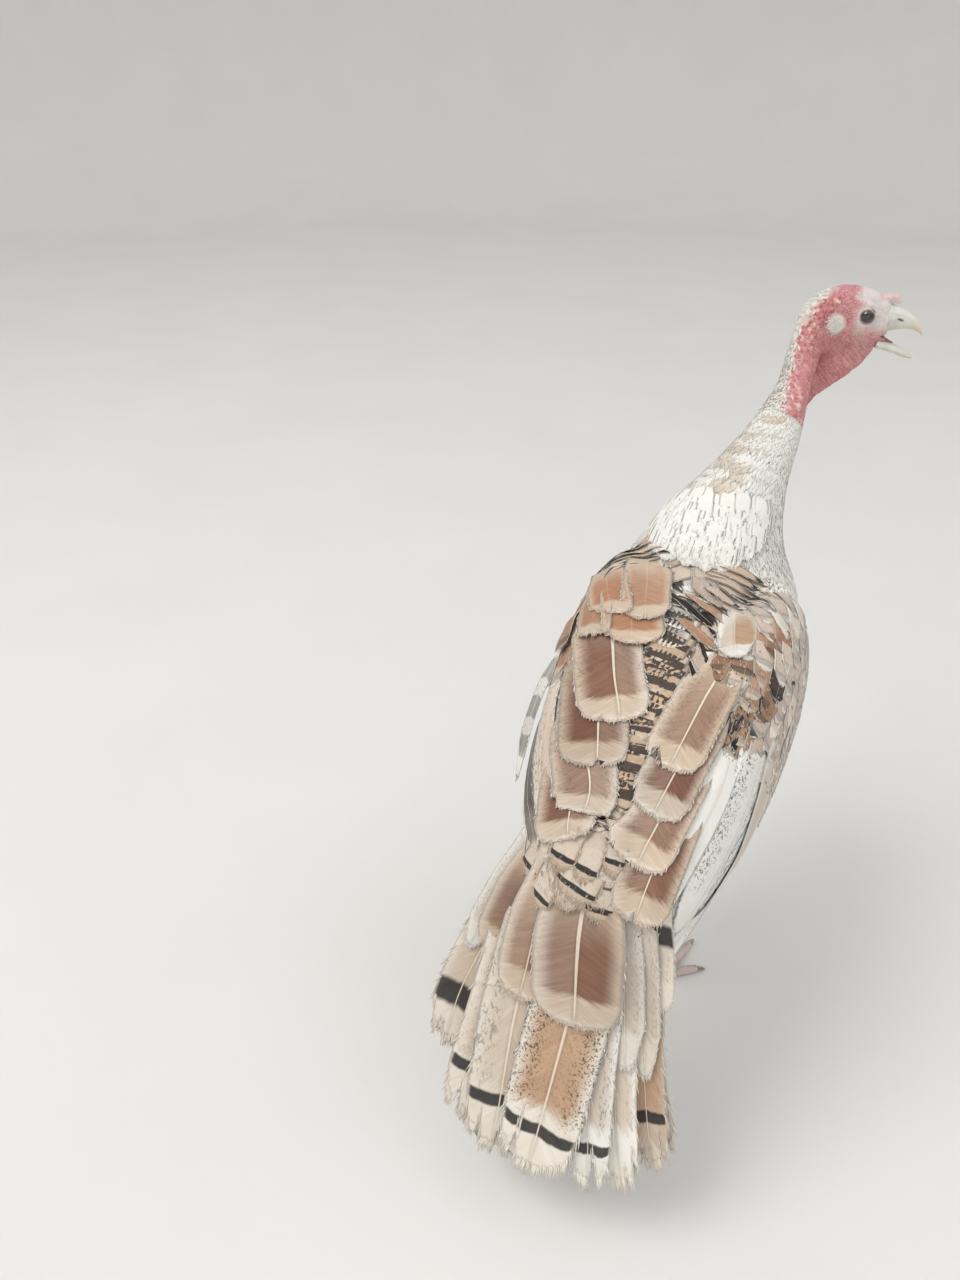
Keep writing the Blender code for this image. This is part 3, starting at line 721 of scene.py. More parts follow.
# joins closed vanes into one mesh; each batch holds grids of places (feather, station, column)
def coatMesh(batches):
    allCo, allUv, allBake, allStyle, quads, caps = [], [], [], [], [], []
    base = 0
    for batch in batches:
        grids, normals = batch["grids"], batch["normals"]
        count, stations, columns, _ = grids.shape
        thick = np.asarray(batch["thick"], float).reshape(-1, 1, 1, 1)
        if batch.get("flat"):
            crown = 1 - np.abs(np.linspace(-1, 1, columns)) ** 2
            ring = grids + normals * thick * crown[None, None, :, None]
            order = list(range(columns))
        else:
            ring = np.concatenate([grids, (grids - normals * thick)[:, :, -2:0:-1]], axis=2)
            order = list(range(columns)) + list(range(columns - 2, 0, -1))
        corners = len(order)
        allCo.append(ring.reshape(-1, 3))
        uv = batch["uv"][:, :, order] if batch["uv"].ndim == 4 else np.broadcast_to(
            batch["uv"][None][:, :, order], (count, stations, corners, 2))
        allUv.append(uv.reshape(-1, 2))
        allBake.append((batch["bake"][:, None, None, :2] + uv * batch["bake"][:, None, None, 2:]).reshape(-1, 2))
        allStyle.append(np.repeat(batch["style"], stations * corners, axis=0))
        index = np.arange(count * stations * corners).reshape(count, stations, corners) + base
        onward = np.roll(index, -1, axis=2)
        quads.append(np.stack([index[:, :-1], onward[:, :-1], onward[:, 1:], index[:, 1:]], axis=-1).reshape(-1, 4))
        caps.append(index[:, 0, ::-1])
        caps.append(index[:, -1])
        base += count * stations * corners
    co, uv, bake, style = (np.concatenate(part) for part in (allCo, allUv, allBake, allStyle))
    loops = [q.ravel() for q in quads] + [c.ravel() for c in caps]
    sizes = np.concatenate([np.full(len(q), 4) for q in quads] + [np.full(len(c), c.shape[1]) for c in caps])
    loops = np.concatenate(loops)
    mesh = bpy.data.meshes.new("coat")
    mesh.vertices.add(len(co))
    mesh.vertices.foreach_set("co", co.ravel())
    mesh.loops.add(len(loops))
    mesh.loops.foreach_set("vertex_index", loops.astype(np.int32))
    mesh.polygons.add(len(sizes))
    mesh.polygons.foreach_set("loop_start", np.concatenate([[0], np.cumsum(sizes)[:-1]]).astype(np.int32))
    for name, values in (("featherUV", uv), ("OFBake", bake)):
        layer = mesh.uv_layers.new(name=name)
        layer.data.foreach_set("uv", values[loops].ravel())
    for slot, name in enumerate(("ground", "centre", "edge", "marks", "layout")):
        layer = mesh.attributes.new(name, "FLOAT_COLOR", "POINT")
        layer.data.foreach_set("color", style[:, slot * 4:slot * 4 + 4].ravel())
    mesh.update(calc_edges=True)
    mesh.validate()
    return mesh


def trianglesOf(mesh):
    return len(mesh.loops) - 2 * len(mesh.polygons)


# a small body feather: stations from root to tip and how wide each is
small = {"stations": np.array([0.0, 0.30, 0.60, 0.82, 1.0]), "widths": np.array([0.45, 0.85, 1.0, 0.98, 0.72]),
         "columns": np.array([-1.0, -0.5, 0.0, 0.5, 1.0]), "thick": 0.0004, "blunt": 0.24}
smallUv = np.stack(np.broadcast_arrays(((small["columns"] + 1) / 2)[None, :], small["stations"][:, None]), axis=-1)


# one small feather lying on the coat's outer face, its root sunk towards the skin
def smallFeather(tree, root, way, length, half, sunk, rise, ragged=0.05, point=1.0, crown=0.0003):
    grid = np.empty((5, 5, 3))
    normals = np.empty((5, 5, 3))
    cuts = np.abs(rng.normal(0, ragged, 5)) * length
    lean = rng.uniform(-0.12, 0.12) * length
    for i, (share, wide) in enumerate(zip(small["stations"], small["widths"])):
        place, normal, _, _ = tree.find_nearest(root + way * (length * share))
        across = way.cross(normal).normalized()
        wide *= 1 - (1 - point) * share ** 3
        lift = -sunk * (1 - share) ** 1.3 + rise * share * share
        place = place + across * (lean * share * share)
        edges = []
        for sign in (-1, 1):
            spot, tilt, _, _ = tree.find_nearest(place + across * (sign * half * wide))
            edges.append((spot + tilt * (lift - crown), tilt))
        middle = place + normal * lift
        row = (edges[0][0], (edges[0][0] + middle) / 2 + normal * 0.6 * crown, middle,
               (edges[1][0] + middle) / 2 + normal * 0.6 * crown, edges[1][0])
        tilts = (edges[0][1], normal, normal, normal, edges[1][1])
        for j in range(5):
            back = small["blunt"] * length * abs(small["columns"][j]) ** 2.2 * share ** 4 + cuts[j] * share ** 6
            grid[i, j] = row[j] - way * back
            normals[i, j] = tilts[j]
    return grid, normals


# one piece of small feathers; each item is (grid, normals), style, place on the baked map and thickness
def smallCoat(items):
    grids, styles, spots, thick = zip(*items)
    return coatMesh([{"grids": np.array([g for g, _ in grids]), "normals": np.array([n for _, n in grids]),
                      "style": np.array(styles), "bake": np.array([spot + (0.003, 0.003) for spot in spots]),
                      "thick": thick, "uv": smallUv, "flat": True}])


# where on the baked map a feather of a walk goes
def walkSpot(angle, share, wide=0.95, start=0.02):
    return start + wide * angle / (2 * math.pi), 0.02 + 0.95 * share


# the solids again, to ask which part of the bird a place belongs to
ownerNames = []
ownerMesh = bmesh.new()
for nodeName in sorted(nodes):
    before = len(ownerMesh.faces)
    ownerMesh.from_mesh(nodes[nodeName].data)
    ownerNames += [nodeName] * (len(ownerMesh.faces) - before)
ownerMesh.faces.ensure_lookup_table()
solidTree = BVHTree.FromBMesh(ownerMesh)
ownerMesh.free()


def ownerOf(place):
    return ownerNames[solidTree.find_nearest(place)[2]]


# walks rings along a line of (x, y, z, reach) and calls grow(hit, normal, way, share, angle, length) for each root
def walk(line, lengthAt, spread, grow, backwards=False, rowGap=0.24):
    dense = smoothLine(line, 240)
    ways = np.gradient(dense[:, :3], axis=0)
    gaps = runLengths(dense[:, :3])
    at, row, recent = 0.0, 0, []
    while at < gaps[-1]:
        share = at / gaps[-1]
        k = min(int(np.searchsorted(gaps, at)), 239)
        centre = Vector(dense[k, :3])
        way = Vector(ways[k]).normalized()
        across = way.cross(Vector((0, 0, 1)) if abs(way.z) < 0.9 else Vector((0, 1, 0))).normalized()
        upward = across.cross(way)
        length = lengthAt(share)
        angle = (row % 2) * 0.5 * length * spread / max(dense[k, 3], 0.02)
        turned = 0.0
        while turned < 2 * math.pi:
            out = across * math.cos(angle + turned) + upward * math.sin(angle + turned)
            hit, normal, _, _ = coatTree.ray_cast(centre + out * dense[k, 3] * 1.7, -out)
            far = 0.02
            if hit is not None:
                far = max((hit - centre).length, 0.012)
                # rows crowd together inside a bend, so some are left out
                if (hit - centre).dot(out) > 0 and all((hit - p).length > 0.15 * length for p in recent[-240:]):
                    recent.append(hit)
                    grow(hit, normal, -way if backwards else way, share, (angle + turned) % (2 * math.pi), length)
            turned += length * spread / far
        at += length * rowGap
        row += 1


# the way a feather lies: along the flow, flat on the coat, turned a little
def lieOf(flow, normal, turn):
    flat = flow - normal * flow.dot(normal)
    if flat.length < 0.15:
        flat = flat + Vector((0, 0, -0.3))
        flat = flat - normal * flat.dot(normal)
    flat.normalize()
    return (Matrix.Rotation(turn, 3, normal) @ flat).normalized()


def bodyKind(p):
    edge = mantleEdge(p.x) + 0.006 * noise.noise(p * 60)
    if p.z > 0.522 and p.x + 0.5 * p.z > 0.262 and noise.noise(Vector((p.x * 30, p.y * 50, p.z * 170))) > -0.02:
        return "soft"
    if p.y < edge or (p.z < 0.36 and p.y < -0.05):
        return "white" if p.z > 0.30 or rng.random() < 0.4 else "belly"
    if p.z < 0.33:
        return "belly" if rng.random() < 0.8 else "cream"
    if p.y < edge + 0.030:
        return "fringed" if rng.random() < 0.8 else ("dark" if p.z > 0.40 else "cream")
    if p.y < 0.120 and abs(p.x - 0.004) < 0.030:
        return "barred" if rng.random() < 0.7 else "dark"
    if p.y > 0.105:
        return "rump" if rng.random() < 0.72 else "plainRump"
    return "fringed" if rng.random() < 0.5 else "cinnamon"


bodyReach = [0.05, 0.10, 0.12, 0.14, 0.15, 0.15, 0.14, 0.13, 0.115, 0.095, 0.072, 0.056, 0.044, 0.034, 0.028, 0.027]
bodyWalk = [place + (reach,) for place, reach in zip(bodyLine, bodyReach)]
bodyItems = {part: [] for part in ("neck", "mantle", "breast", "upper", "under")}
# pale feathers are longer, narrower and flatter than the patterned ones
paleSet = {"long": 1.25, "half": 0.19, "sink": 0.035, "deepest": 0.0009, "rise": 0.0002, "point": 0.35,
           "crown": 0.0001, "thick": 0.0002}
patternedSet = {"long": 1.0, "half": 0.34, "sink": 0.20, "deepest": 0.0050, "rise": 0.0008, "point": 1.0,
                "crown": 0.0003, "thick": 0.0004}


def bodyLength(share):
    return float(np.interp(share, [0, 0.12, 0.35, 0.50, 0.60, 0.72, 0.85, 1.0],
                           [0.030, 0.034, 0.033, 0.026, 0.021, 0.017, 0.012, 0.007]))


def growBody(hit, normal, flow, share, angle, length):
    if ownerOf(hit) not in ("trunk", "neck_feathered", "neck_bare", "vent_feathers", "tail_coverts"):
        return
    bare = (hit - Vector(neckCut[0])).dot(Vector(neckCut[1]).normalized())
    if bare > 0.012 + 0.010 * noise.noise(hit * 90) + 0.012 * (normal.y > 0.2):
        return
    way = lieOf(flow, normal, rng.normal(0, 0.16))
    size = length * rng.uniform(0.82, 1.2)
    kind = bodyKind(hit)
    look = paleSet if kind in ("white", "cream", "soft", "belly") else patternedSet
    vane = smallFeather(coatTree, hit - way * size * 0.4, way, size * look["long"], size * look["half"],
                        min(look["sink"] * size, look["deepest"]), rng.uniform(0.0, look["rise"]),
                        point=look["point"], crown=look["crown"])
    upper = normal.z > 0
    part = ("neck" if share > 0.74 else ("mantle" if upper else "breast") if share > 0.56
            else "upper" if upper else "under")
    bodyItems[part].append((vane, styleRow(kind), walkSpot(angle, share), look["thick"]))


walk(bodyWalk, bodyLength, 0.25, growBody, backwards=True, rowGap=0.20)

thighLines = {"right": [(-29.7, -30, 262), (-29.7, -10, 234), (-27.9, 11, 200), (-25.3, 26, 168), (-23.2, 34, 143)],
              "left": [(57.8, -40, 262), (57.8, -20, 234), (54.7, 1, 200), (50.3, 16, 168), (46.8, 24, 143)]}
thighItems = []
for side, places in thighLines.items():
    def growThigh(hit, normal, flow, share, angle, length, side=side):
        if not ownerOf(hit).startswith(("thigh_" + side, "shank_" + side)):
            return
        way = lieOf(flow, normal, rng.normal(0, 0.14))
        vane = smallFeather(coatTree, hit - way * length * 0.4, way, length * 1.1, length * 0.24,
                            min(0.08 * length, 0.0018), rng.uniform(0.0, 0.0003), point=0.6, crown=0.00015)
        spot = walkSpot(angle, share, 0.46, 0.52 if side == "left" else 0.02)
        thighItems.append((vane, styleRow("belly"), spot, small["thick"]))

    walk([place + (0.05,) for place in metres(places)], lambda share: 0.026 - 0.014 * share, 0.30, growThigh)


# a lie says where a place of a large feather ends up, and which way is out of the coat there
def onCoat(place, lift):
    spot, normal, _, _ = coatTree.find_nearest(place)
    return spot + normal * lift, normal


def onFan(place, lift):
    return place + fanOut * lift, fanOut


# a vane along a line of places: widths left and right of the shaft, a blunt tip with splits
def bigFeather(line, left, right, settle, stations, columns, low=-0.003, high=0.0025, blunt=0.10, notch=0.02,
               splits=0, rootWidth=0.6, fullFrom=0.30, droop=0.0, tipLift=0.0, tilt=0.0, bridge=None):
    line = np.array([tuple(p) for p in line], float)
    lengths = runLengths(line)
    share = np.linspace(0, 1, stations) ** 0.85
    across = np.linspace(-1, 1, columns)
    cuts = np.abs(rng.normal(0, notch, columns))
    for _ in range(splits):
        cuts[rng.integers(0, columns)] += rng.uniform(0.04, 0.11)
    grid = np.empty((stations, columns, 3))
    normals = np.empty((stations, columns, 3))

    def on(part):
        return np.array([np.interp(part * lengths[-1], lengths, line[:, k]) for k in range(3)])

    for i, s in enumerate(share):
        wide = rootWidth + (1 - rootWidth) * float(step(0, fullFrom, s))
        wide *= 1 - 0.14 * float(step(0.85, 1.0, s))
        lift = low + (high - low) * float(step(0.0, 0.4, s)) + tipLift * s ** 4
        for j, t in enumerate(across):
            along = s - blunt * abs(t) ** 2.4 * s ** 5 - cuts[j] * s ** 28
            here = Vector(on(along))
            way = Vector(on(min(along + 0.06, 1)) - on(max(along - 0.06, 0))).normalized()
            _, normal = settle(here, 0.0)
            side = way.cross(normal).normalized()
            grid[i, j], normals[i, j] = settle(here + side * (t * wide * (left if t < 0 else right)),
                                               lift - droop * t * t + tilt * t)
    if bridge is not None:                       # taut over hollows, as seen along bridge
        start = grid @ np.array(bridge)
        level = start.copy()
        for _ in range(24):
            near = np.pad(level, 1, mode="edge")
            mean = (near[:-2, 1:-1] + near[2:, 1:-1] + near[1:-1, :-2] + near[1:-1, 2:]) / 4
            level = np.maximum(mean, level * 0.5 + start * 0.5)
        grid += (level - start)[..., None] * np.array(bridge)
    uv = np.stack(np.broadcast_arrays(((across + 1) / 2)[None, :], share[:, None]), axis=-1)
    return grid, normals, uv


# loose barbs that carry on past the edge of a large feather
def barbs(grid, normals, uv, count, length, wide, sideShare=0.3):
    stations, columns = grid.shape[:2]
    grids, tilts, marks = [], [], []
    for _ in range(count):
        if rng.random() < sideShare:
            i = rng.uniform(stations * 0.35, stations - 1.001)
            j = 0.0 if rng.random() < 0.5 else columns - 1.001
        else:
            i = stations - 1.001
            j = rng.uniform(0, columns - 1.001)
        a, b = int(i), int(j)
        fi, fj = i - a, j - b
        root = ((grid[a, b] * (1 - fi) + grid[a + 1, b] * fi) * (1 - fj)
                + (grid[a, b + 1] * (1 - fi) + grid[a + 1, b + 1] * fi) * fj)
        along = Vector(grid[a + 1, b] - grid[a, b]).normalized()
        outward = Vector(grid[a, b + 1] - grid[a, b]).normalized() * (2 * j / (columns - 1) - 1)
        way = (along + outward * rng.uniform(0.15, 0.55)).normalized()
        normal = Vector(normals[a, b])
        side = way.cross(normal).normalized()
        reach = length * rng.uniform(0.5, 1.15)
        begin = Vector(root) - way * reach * 0.45 + normal * 0.0002
        bend = side * rng.uniform(-0.12, 0.12) * reach + normal * rng.uniform(-0.05, 0.12) * reach
        here = uv[a, b] * (1 - fj) + uv[a, b + 1] * fj
        cells, spots = [], []
        for share, thin in ((0.0, 0.8), (0.5, 1.0), (1.0, 0.12)):
            middle = begin + way * reach * share + bend * share * share
            cells.append([list(middle + side * (k * wide * thin / 2)) for k in (-1, 0, 1)])
            spots.append([(here[0], min(here[1] - 0.02 + 0.03 * share, 1.0))] * 3)
        grids.append(cells)
        tilts.append([[list(normal)] * 3] * 3)
        marks.append(spots)
    return np.array(grids), np.array(tilts), np.array(marks)


class BigCoat:
    # collects large feathers and their barbs for one piece, each feather with a patch of its own on the baked map
    def __init__(self, cells):
        self.cells = cells
        self.batches = []
        self.count = 0

    def add(self, line, left, right, settle, style, stations=20, columns=13, thick=0.0007, fringe=40,
            barb=0.007, barbWide=0.0011, sideShare=0.3, **shape):
        grid, normals, uv = bigFeather(line, left, right, settle, stations, columns, **shape)
        row, column = divmod(self.count, self.cells)
        self.count += 1
        bake = np.array([[column + 0.04, row + 0.04, 0.92, 0.92]]) / self.cells
        self.batches.append({"grids": grid[None], "normals": normals[None], "uv": uv[None], "thick": thick,
                             "style": np.array([style]), "bake": bake})
        if fringe:
            cells, slopes, spots = barbs(grid, normals, uv, fringe, barb, barbWide, sideShare)
            self.batches.append({"grids": cells, "normals": slopes, "uv": spots, "thick": 0.0003, "flat": True,
                                 "style": np.repeat([style], fringe, axis=0),
                                 "bake": np.repeat(bake, fringe, axis=0)})


# a line laid over the coat between two or more places
def overCoat(places, count=12):
    return [coatTree.find_nearest(Vector(p))[0] for p in smoothLine(places, count)]


# tail feathers from the lowest to the topmost: places on the fan from root to tip and half width in mm, bar (half
# depth and distance from the tip, in mm), speckle, ground and how pale the web on one side is
rectrices = [
    ([(-52, 180), (-78, 340), (-94, 385), (-108, 412)], 11.0, (0, 40), 0.2, "cream", 0),
    ([(40, 170), (84, 300), (100, 350), (103, 396)], 23.0, (12.5, 45), 0.0, "cream", 0),
    ([(-50, 180), (-70, 320), (-84, 385), (-98, 432)], 16.5, (5.8, 48), 0.2, "buff", 0),
    ([(36, 170), (50, 330), (59, 395), (67, 446)], 30.0, (6.4, 50), 0.2, "cream", 0.3),
    ([(-36, 180), (-50, 330), (-64, 405), (-78, 452)], 18.0, (0, 40), 0.3, "white", 0),
    ([(22, 170), (38, 330), (35, 410), (35, 458)], 31.5, (6.2, 46), 0.5, "cream", 0.4),
    ([(-26, 180), (-34, 330), (-42, 405), (-52, 456)], 20.0, (5.2, 34), 0.5, "white", 0),
    ([(-16, 170), (-10, 310), (-4, 410), (0, 458)], 35.0, (6.0, 48), 1.6, "cream", 0),
]
tailShape = dict(stations=28, columns=19, low=-0.001, high=0.0008, blunt=0.06, notch=0.016, fringe=170, barb=0.014,
                 barbWide=0.0012, sideShare=0.15, thick=0.0006, droop=0.0006, rootWidth=0.45)


def makeTail():
    coat = BigCoat(3)
    for order, (places, half, (bar, fromTip), speckle, ground, web) in enumerate(rectrices):
        half, bar, fromTip = half / 1000, bar / 1000, fromTip / 1000
        line = [fanPoint(x, y, -0.0020 + 0.0007 * order) for x, y in smoothLine(metres(places), 16)]
        length = sum((b - a).length for a, b in zip(line, line[1:]))
        middle = "tan" if speckle > 1 or ground == "buff" else "buff"
        style = styleRow("tail", colours="%s %s cream" % (ground, middle), web=web,
                         lay=(0.0, 1 - fromTip / length, max(bar, 0.002) / length, 0),
                         marks=(1.3 if speckle > 1 else 0.8, 1.0 if bar else 0.0, speckle, 1.15))
        coat.add(line, half, half, onFan, style, splits=2 if half > 0.028 else 4, **tailShape)
    return coatMesh(coat.batches)


# greater coverts over the tail: places down the fan and half width in mm, kind
tailCoverts = [
    ([(50, 170), (74, 240), (93, 295)], 14.0, "whiteCovert"),
    ([(-55, 160), (-65, 220), (-78, 290)], 12.0, "barCovert"),
    ([(-46, 180), (-62, 270), (-78, 350)], 13.5, "whiteCovert"),
    ([(38, 180), (54, 230), (69, 286)], 22.0, "covert"),
    ([(-32, 180), (-46, 260), (-62, 345)], 16.5, "whiteCovert"),
    ([(20, 180), (29, 250), (35, 313)], 26.0, "covert"),
    ([(-6, 180), (-9, 240), (-16, 318)], 39.0, "covert"),
]
tailCovertShape = dict(stations=22, columns=15, low=-0.006, high=0.0030, notch=0.006, fringe=60, barb=0.006,
                       droop=0.003, rootWidth=0.75, fullFrom=0.5)


def onTailCoat(place):
    hit, _, _, _ = solidTree.ray_cast(place + fanOut * 0.06, -fanOut)
    return hit if hit is not None and (hit - place).length < 0.06 else place


def makeTailCoverts():
    coat = BigCoat(4)
    for places, half, kind in tailCoverts:
        line = [onTailCoat(fanPoint(x, y, 0.004)) for x, y in smoothLine(metres(places), 12)]
        coat.add(smoothLine(line, 14), half / 1000, half / 1000, onFan,
                 styleRow(kind, web=0.0 if kind == "barCovert" else 0.35),
                 blunt=0.22 if kind == "whiteCovert" else 0.07, **tailCovertShape)
    return coatMesh(coat.batches)


# middling feathers of the rump, the back and the shoulders, over the small ones
middlingShape = dict(stations=9, columns=9, low=-0.0035, blunt=0.24, notch=0.014, thick=0.0005, barbWide=0.0008,
                     sideShare=0.2)


def middling(coat, hit, way, length, half, kind, high=0.0022, flow=None, fringe=10, barb=0.003, **change):
    root = hit - way * length * 0.35
    line = overCoat([root, root + way * length * 0.5, root + way * length], 8)
    tilt = 0.0
    if flow is not None:
        tilt = 0.0008 * max(min(3 * way.cross(coatTree.find_nearest(hit)[1]).dot(flow), 1.0), -1.0)
    coat.add(line, half, half, onCoat, styleRow(kind, **change), high=high, fringe=fringe, barb=barb, tilt=tilt,
             **middlingShape)


rumpSet = {"top": 0.035, "reach": 0.056, "strip": 0.027, "length": 0.042, "half": 0.0145, "fringe": 26, "barb": 0.0065}
rumpWalk = metres([(8, 262, 215), (7, 238, 255)]) + bodyLine[1:7]
# barred feathers on the rump, the lowest first: middle of the bar and half width in mm, slant
rumpBars = [((41, 224, 302), 10.5, 0.35), ((-9, 223, 309), 11.5, 0.10), ((56, 208, 313), 10.0, 0.40),
            ((13, 221, 322), 16.0, 0.30), ((8, 214, 337), 8.5, 0.20), ((28, 210, 339), 10.5, 0.05),
            ((-10, 203, 343), 7.5, 0.20)]
rumpBarShape = dict(stations=12, columns=11, low=-0.004, blunt=0.16, notch=0.012, fringe=40, barbWide=0.0008,
                    thick=0.0003)


def makeRump():
    coat = BigCoat(18)

    def growRump(hit, normal, flow, share, angle, length):
        if hit.y < rumpSet["top"] or abs(hit.x - 0.004) > rumpSet["reach"] or normal.y + normal.z < 0.5:
            return
        if (hit - fanRoot).dot(fanAlong) > 0.196 - 1.5 * abs(hit.x - 0.002) ** 1.5:
            return
        if ownerOf(hit) not in ("trunk", "tail_coverts", "wing_left", "wing_right"):
            return
        if hit.y < 0.19 and abs(hit.x) > rumpSet["strip"]:
            return
        white = hit.y < 0.13 and rng.random() < 0.7
        kind = "backBar" if white else ("rump" if rng.random() < 0.2 else "plainRump")
        middling(coat, hit, lieOf(flow, normal, rng.normal(0, 0.22)), rumpSet["length"] * rng.uniform(0.8, 1.25),
                 rumpSet["half"], kind, high=0.0016 + 0.02 * max(hit.y - 0.17, 0.0), shaft=0.2,
                 fringe=rumpSet["fringe"], barb=rumpSet["barb"],
                 lay=(0.1, rng.uniform(0.66, 0.82), rng.uniform(0.06, 0.10), 0.0))

    walk([place + (0.15,) for place in rumpWalk], lambda share: 0.040, 0.38, growRump, backwards=True, rowGap=0.30)
    for order, (place, half, slant) in enumerate(rumpBars):
        way = Vector((slant, 0.35, -0.93)).normalized()
        place, half = Vector(metres([place])[0]), 1.15 * (half / 1000)
        style = styleRow("rump", shaft=0.1, lay=(0.1, 0.76, 0.06, 0.0), marks=(0.5, 1.0, 0.0, 0.2))
        coat.add(overCoat([place - way * 0.032, place, place + way * 0.010], 10), half, half, onCoat, style,
                 high=0.0027 + 0.0001 * order, **rumpBarShape)
    return coatMesh(coat.batches)


# the long shoulder feathers that end in a dark line: places from root to tip and half width in mm, kind
scapulars = [
    ([(24, 2, 460), (-10, 23, 448), (-43, 34, 438)], 8.5, "orange"),
    ([(31, -21, 464), (3, 6, 461), (-26, 16, 449)], 8.5, "darkEdge"),
    ([(20, -24, 470), (-6, -3, 462), (-30, 5, 452)], 7.0, "orange"),
    ([(14, -30, 471), (-10, -14, 462), (-32, -4, 456)], 6.0, "stripe"),
    ([(6, -31, 473), (-19, -23, 462), (-40, -19, 456)], 5.5, "stripe"),
    ([(0, -37, 476), (-27, -32, 464), (-48, -26, 457)], 5.0, "stripe"),
    ([(17, -34, 478), (-13, -37, 475), (-45, -40, 460), (-66, -24, 458)], 5.0, "stripe"),
    ([(16, -37, 481), (-16, -41, 476), (-50, -46, 460)], 4.8, "stripe"),
    ([(15, -40, 484), (-19, -44, 477), (-54, -52, 460)], 4.8, "stripe"),
    ([(12, -46, 486), (-20, -52, 478), (-52, -62, 462)], 4.6, "stripe"),
    ([(70, -40, 474), (85, -22, 466), (88, 10, 456)], 6.5, "stripe"),
    ([(30, -46, 486), (57, -40, 478), (74, -18, 468)], 5.5, "stripe"),
    ([(36, -52, 487), (65, -45, 476), (86, -30, 460)], 5.0, "stripe"),
    ([(38, -56, 488), (73, -49, 474), (98, -38, 452)], 5.0, "stripe"),
    ([(10, -46, 490), (40, -50, 486), (62, -36, 476)], 6.0, "darkEdge"),
    ([(18, -54, 491), (50, -56, 484), (80, -50, 466)], 4.8, "stripe"),
    ([(30, -62, 492), (62, -62, 482), (92, -56, 460)], 4.8, "stripe"),
]
backStrip = [(18, -20, 470), (14, 4, 460), (11, 27, 448), (6, 54, 434), (3, 79, 419), (0, 103, 405), (-3, 126, 390),
             (-4, 147, 375), (-5, 166, 359)]
stripShape = dict(stations=14, columns=11, low=0.0, high=0.0026, blunt=0.18, notch=0.008, splits=1, fringe=8,
                  barb=0.003, rootWidth=0.7)
scapularShape = dict(stations=16, columns=9, low=-0.002, blunt=0.55, notch=0.012, fringe=20, barb=0.003,
                     barbWide=0.0008, rootWidth=0.5)
mantleShape = dict(stations=9, columns=7, low=-0.0012, blunt=0.24, fringe=9, barb=0.004, barbWide=0.0008,
                   rootWidth=0.5, thick=0.0002)
mantleSet = {"edges": (-0.037, -0.042, -0.048, -0.054, -0.061, -0.069, -0.077), "inRow": 21, "half": 0.0080}


def makeBackFeathers():
    coat = BigCoat(18)

    def growBack(hit, normal, flow, share, angle, length):
        edge = mantleEdge(hit.x) + 0.008 * noise.noise(hit * 70)
        if hit.y < edge - 0.004 or hit.y > 0.075 or normal.z < 0.1 or abs(hit.x) > 0.085:
            return
        middle = abs(hit.x - 0.004)
        splay = (math.copysign(1, hit.x - 0.004) * min(middle / 0.02, 1.0)
                 * float(np.interp(hit.y, [-0.05, 0.0, 0.05], [1.7, 1.3, 0.2])))
        half = 0.0115
        if hit.y > 0.008 and middle < 0.022:
            return
        if hit.y < edge + 0.022:
            kind, half = "fringed", 0.0090
        else:
            kind = ("fringed", "orange", "orange", "dark")[int(rng.integers(0, 4))]
        way = lieOf(flow + Vector((splay, 0, 0)), normal, rng.normal(0, 0.08))
        middling(coat, hit, way, 0.052, half, kind, high=0.0018, flow=flow)

    walk(bodyWalk[1:10], lambda share: 0.040, 0.36, growBack, backwards=True, rowGap=0.32)
    # barred feathers down the middle of the back
    spine = smoothLine(metres(backStrip), 60)
    for k in range(58, 3, -4):
        colours = "cream grey cream" if k < 22 else "buff tan cream"
        slant = 0.009 * min(max((44 - k) / 20, 0), 1)
        places = [Vector(spine[max(k - 7 * (2 - j), 0)]) + Vector(((j - 1.5) * slant, 0, 0)) for j in range(3)]
        coat.add(overCoat(places), 0.020, 0.020, onCoat,
                 styleRow("banded", colours=colours, shaft=0.0, marks=(0.6, 0, 0, 0.7), lay=(0.1, 0.6, 0.1, 0.88)),
                 **stripShape)
    # long shoulder feathers, one over another towards the neck
    for order, (places, half, kind) in enumerate(scapulars):
        sign = 1 if places[-1][0] > places[0][0] else -1
        half /= 1000
        places = [Vector(p) + Vector((sign * 0.004, -0.8 * half, 0.002)) for p in metres(places)]
        coat.add(overCoat(places), half, half, onCoat, styleRow(kind, shaft=0.5), tilt=-0.0016 * sign,
                 high=0.0026 + 0.0003 * (order % 7), **scapularShape)
    # the pale mantle hangs over their roots
    for row, y in enumerate(mantleSet["edges"]):
        spread = 0.036 + 0.005 * min(row, 4)
        for k in range(mantleSet["inRow"]):
            aside = (k / 10 - 1) * spread + rng.normal(0, 0.0012)
            tip = Vector((0.014 + aside, y - 5.5 * aside ** 2 + rng.normal(0, 0.003), 0.486 + 0.002 * row))
            root = tip + Vector((-0.30 * aside, -0.036, 0.016 + 0.002 * row))
            coat.add(overCoat([root, tip], 10), mantleSet["half"], mantleSet["half"], onCoat,
                     styleRow("white", shaft=0.0), high=0.0032 - 0.0003 * row, **mantleShape)
    return coatMesh(coat.batches)


# each broad inner feather's root and tip as (x, y, z) and its half width, in mm; hindmost first
tertials = {
    "left": [((48, 132, 378), (28, 203, 348), 25.0), ((54, 94, 408), (23, 185, 362), 27.5),
             ((60, 55, 434), (29, 142, 376), 30.0), ((68, 18, 458), (23, 108, 401), 31.0)],
    "right": [((-46, 130, 373), (-36, 218, 301), 22.5), ((-46, 102, 396), (-28, 192, 330), 23.0),
              ((-46, 68, 420), (-28, 159, 357), 23.5), ((-45, 30, 442), (-29, 126, 381), 24.0)],
}
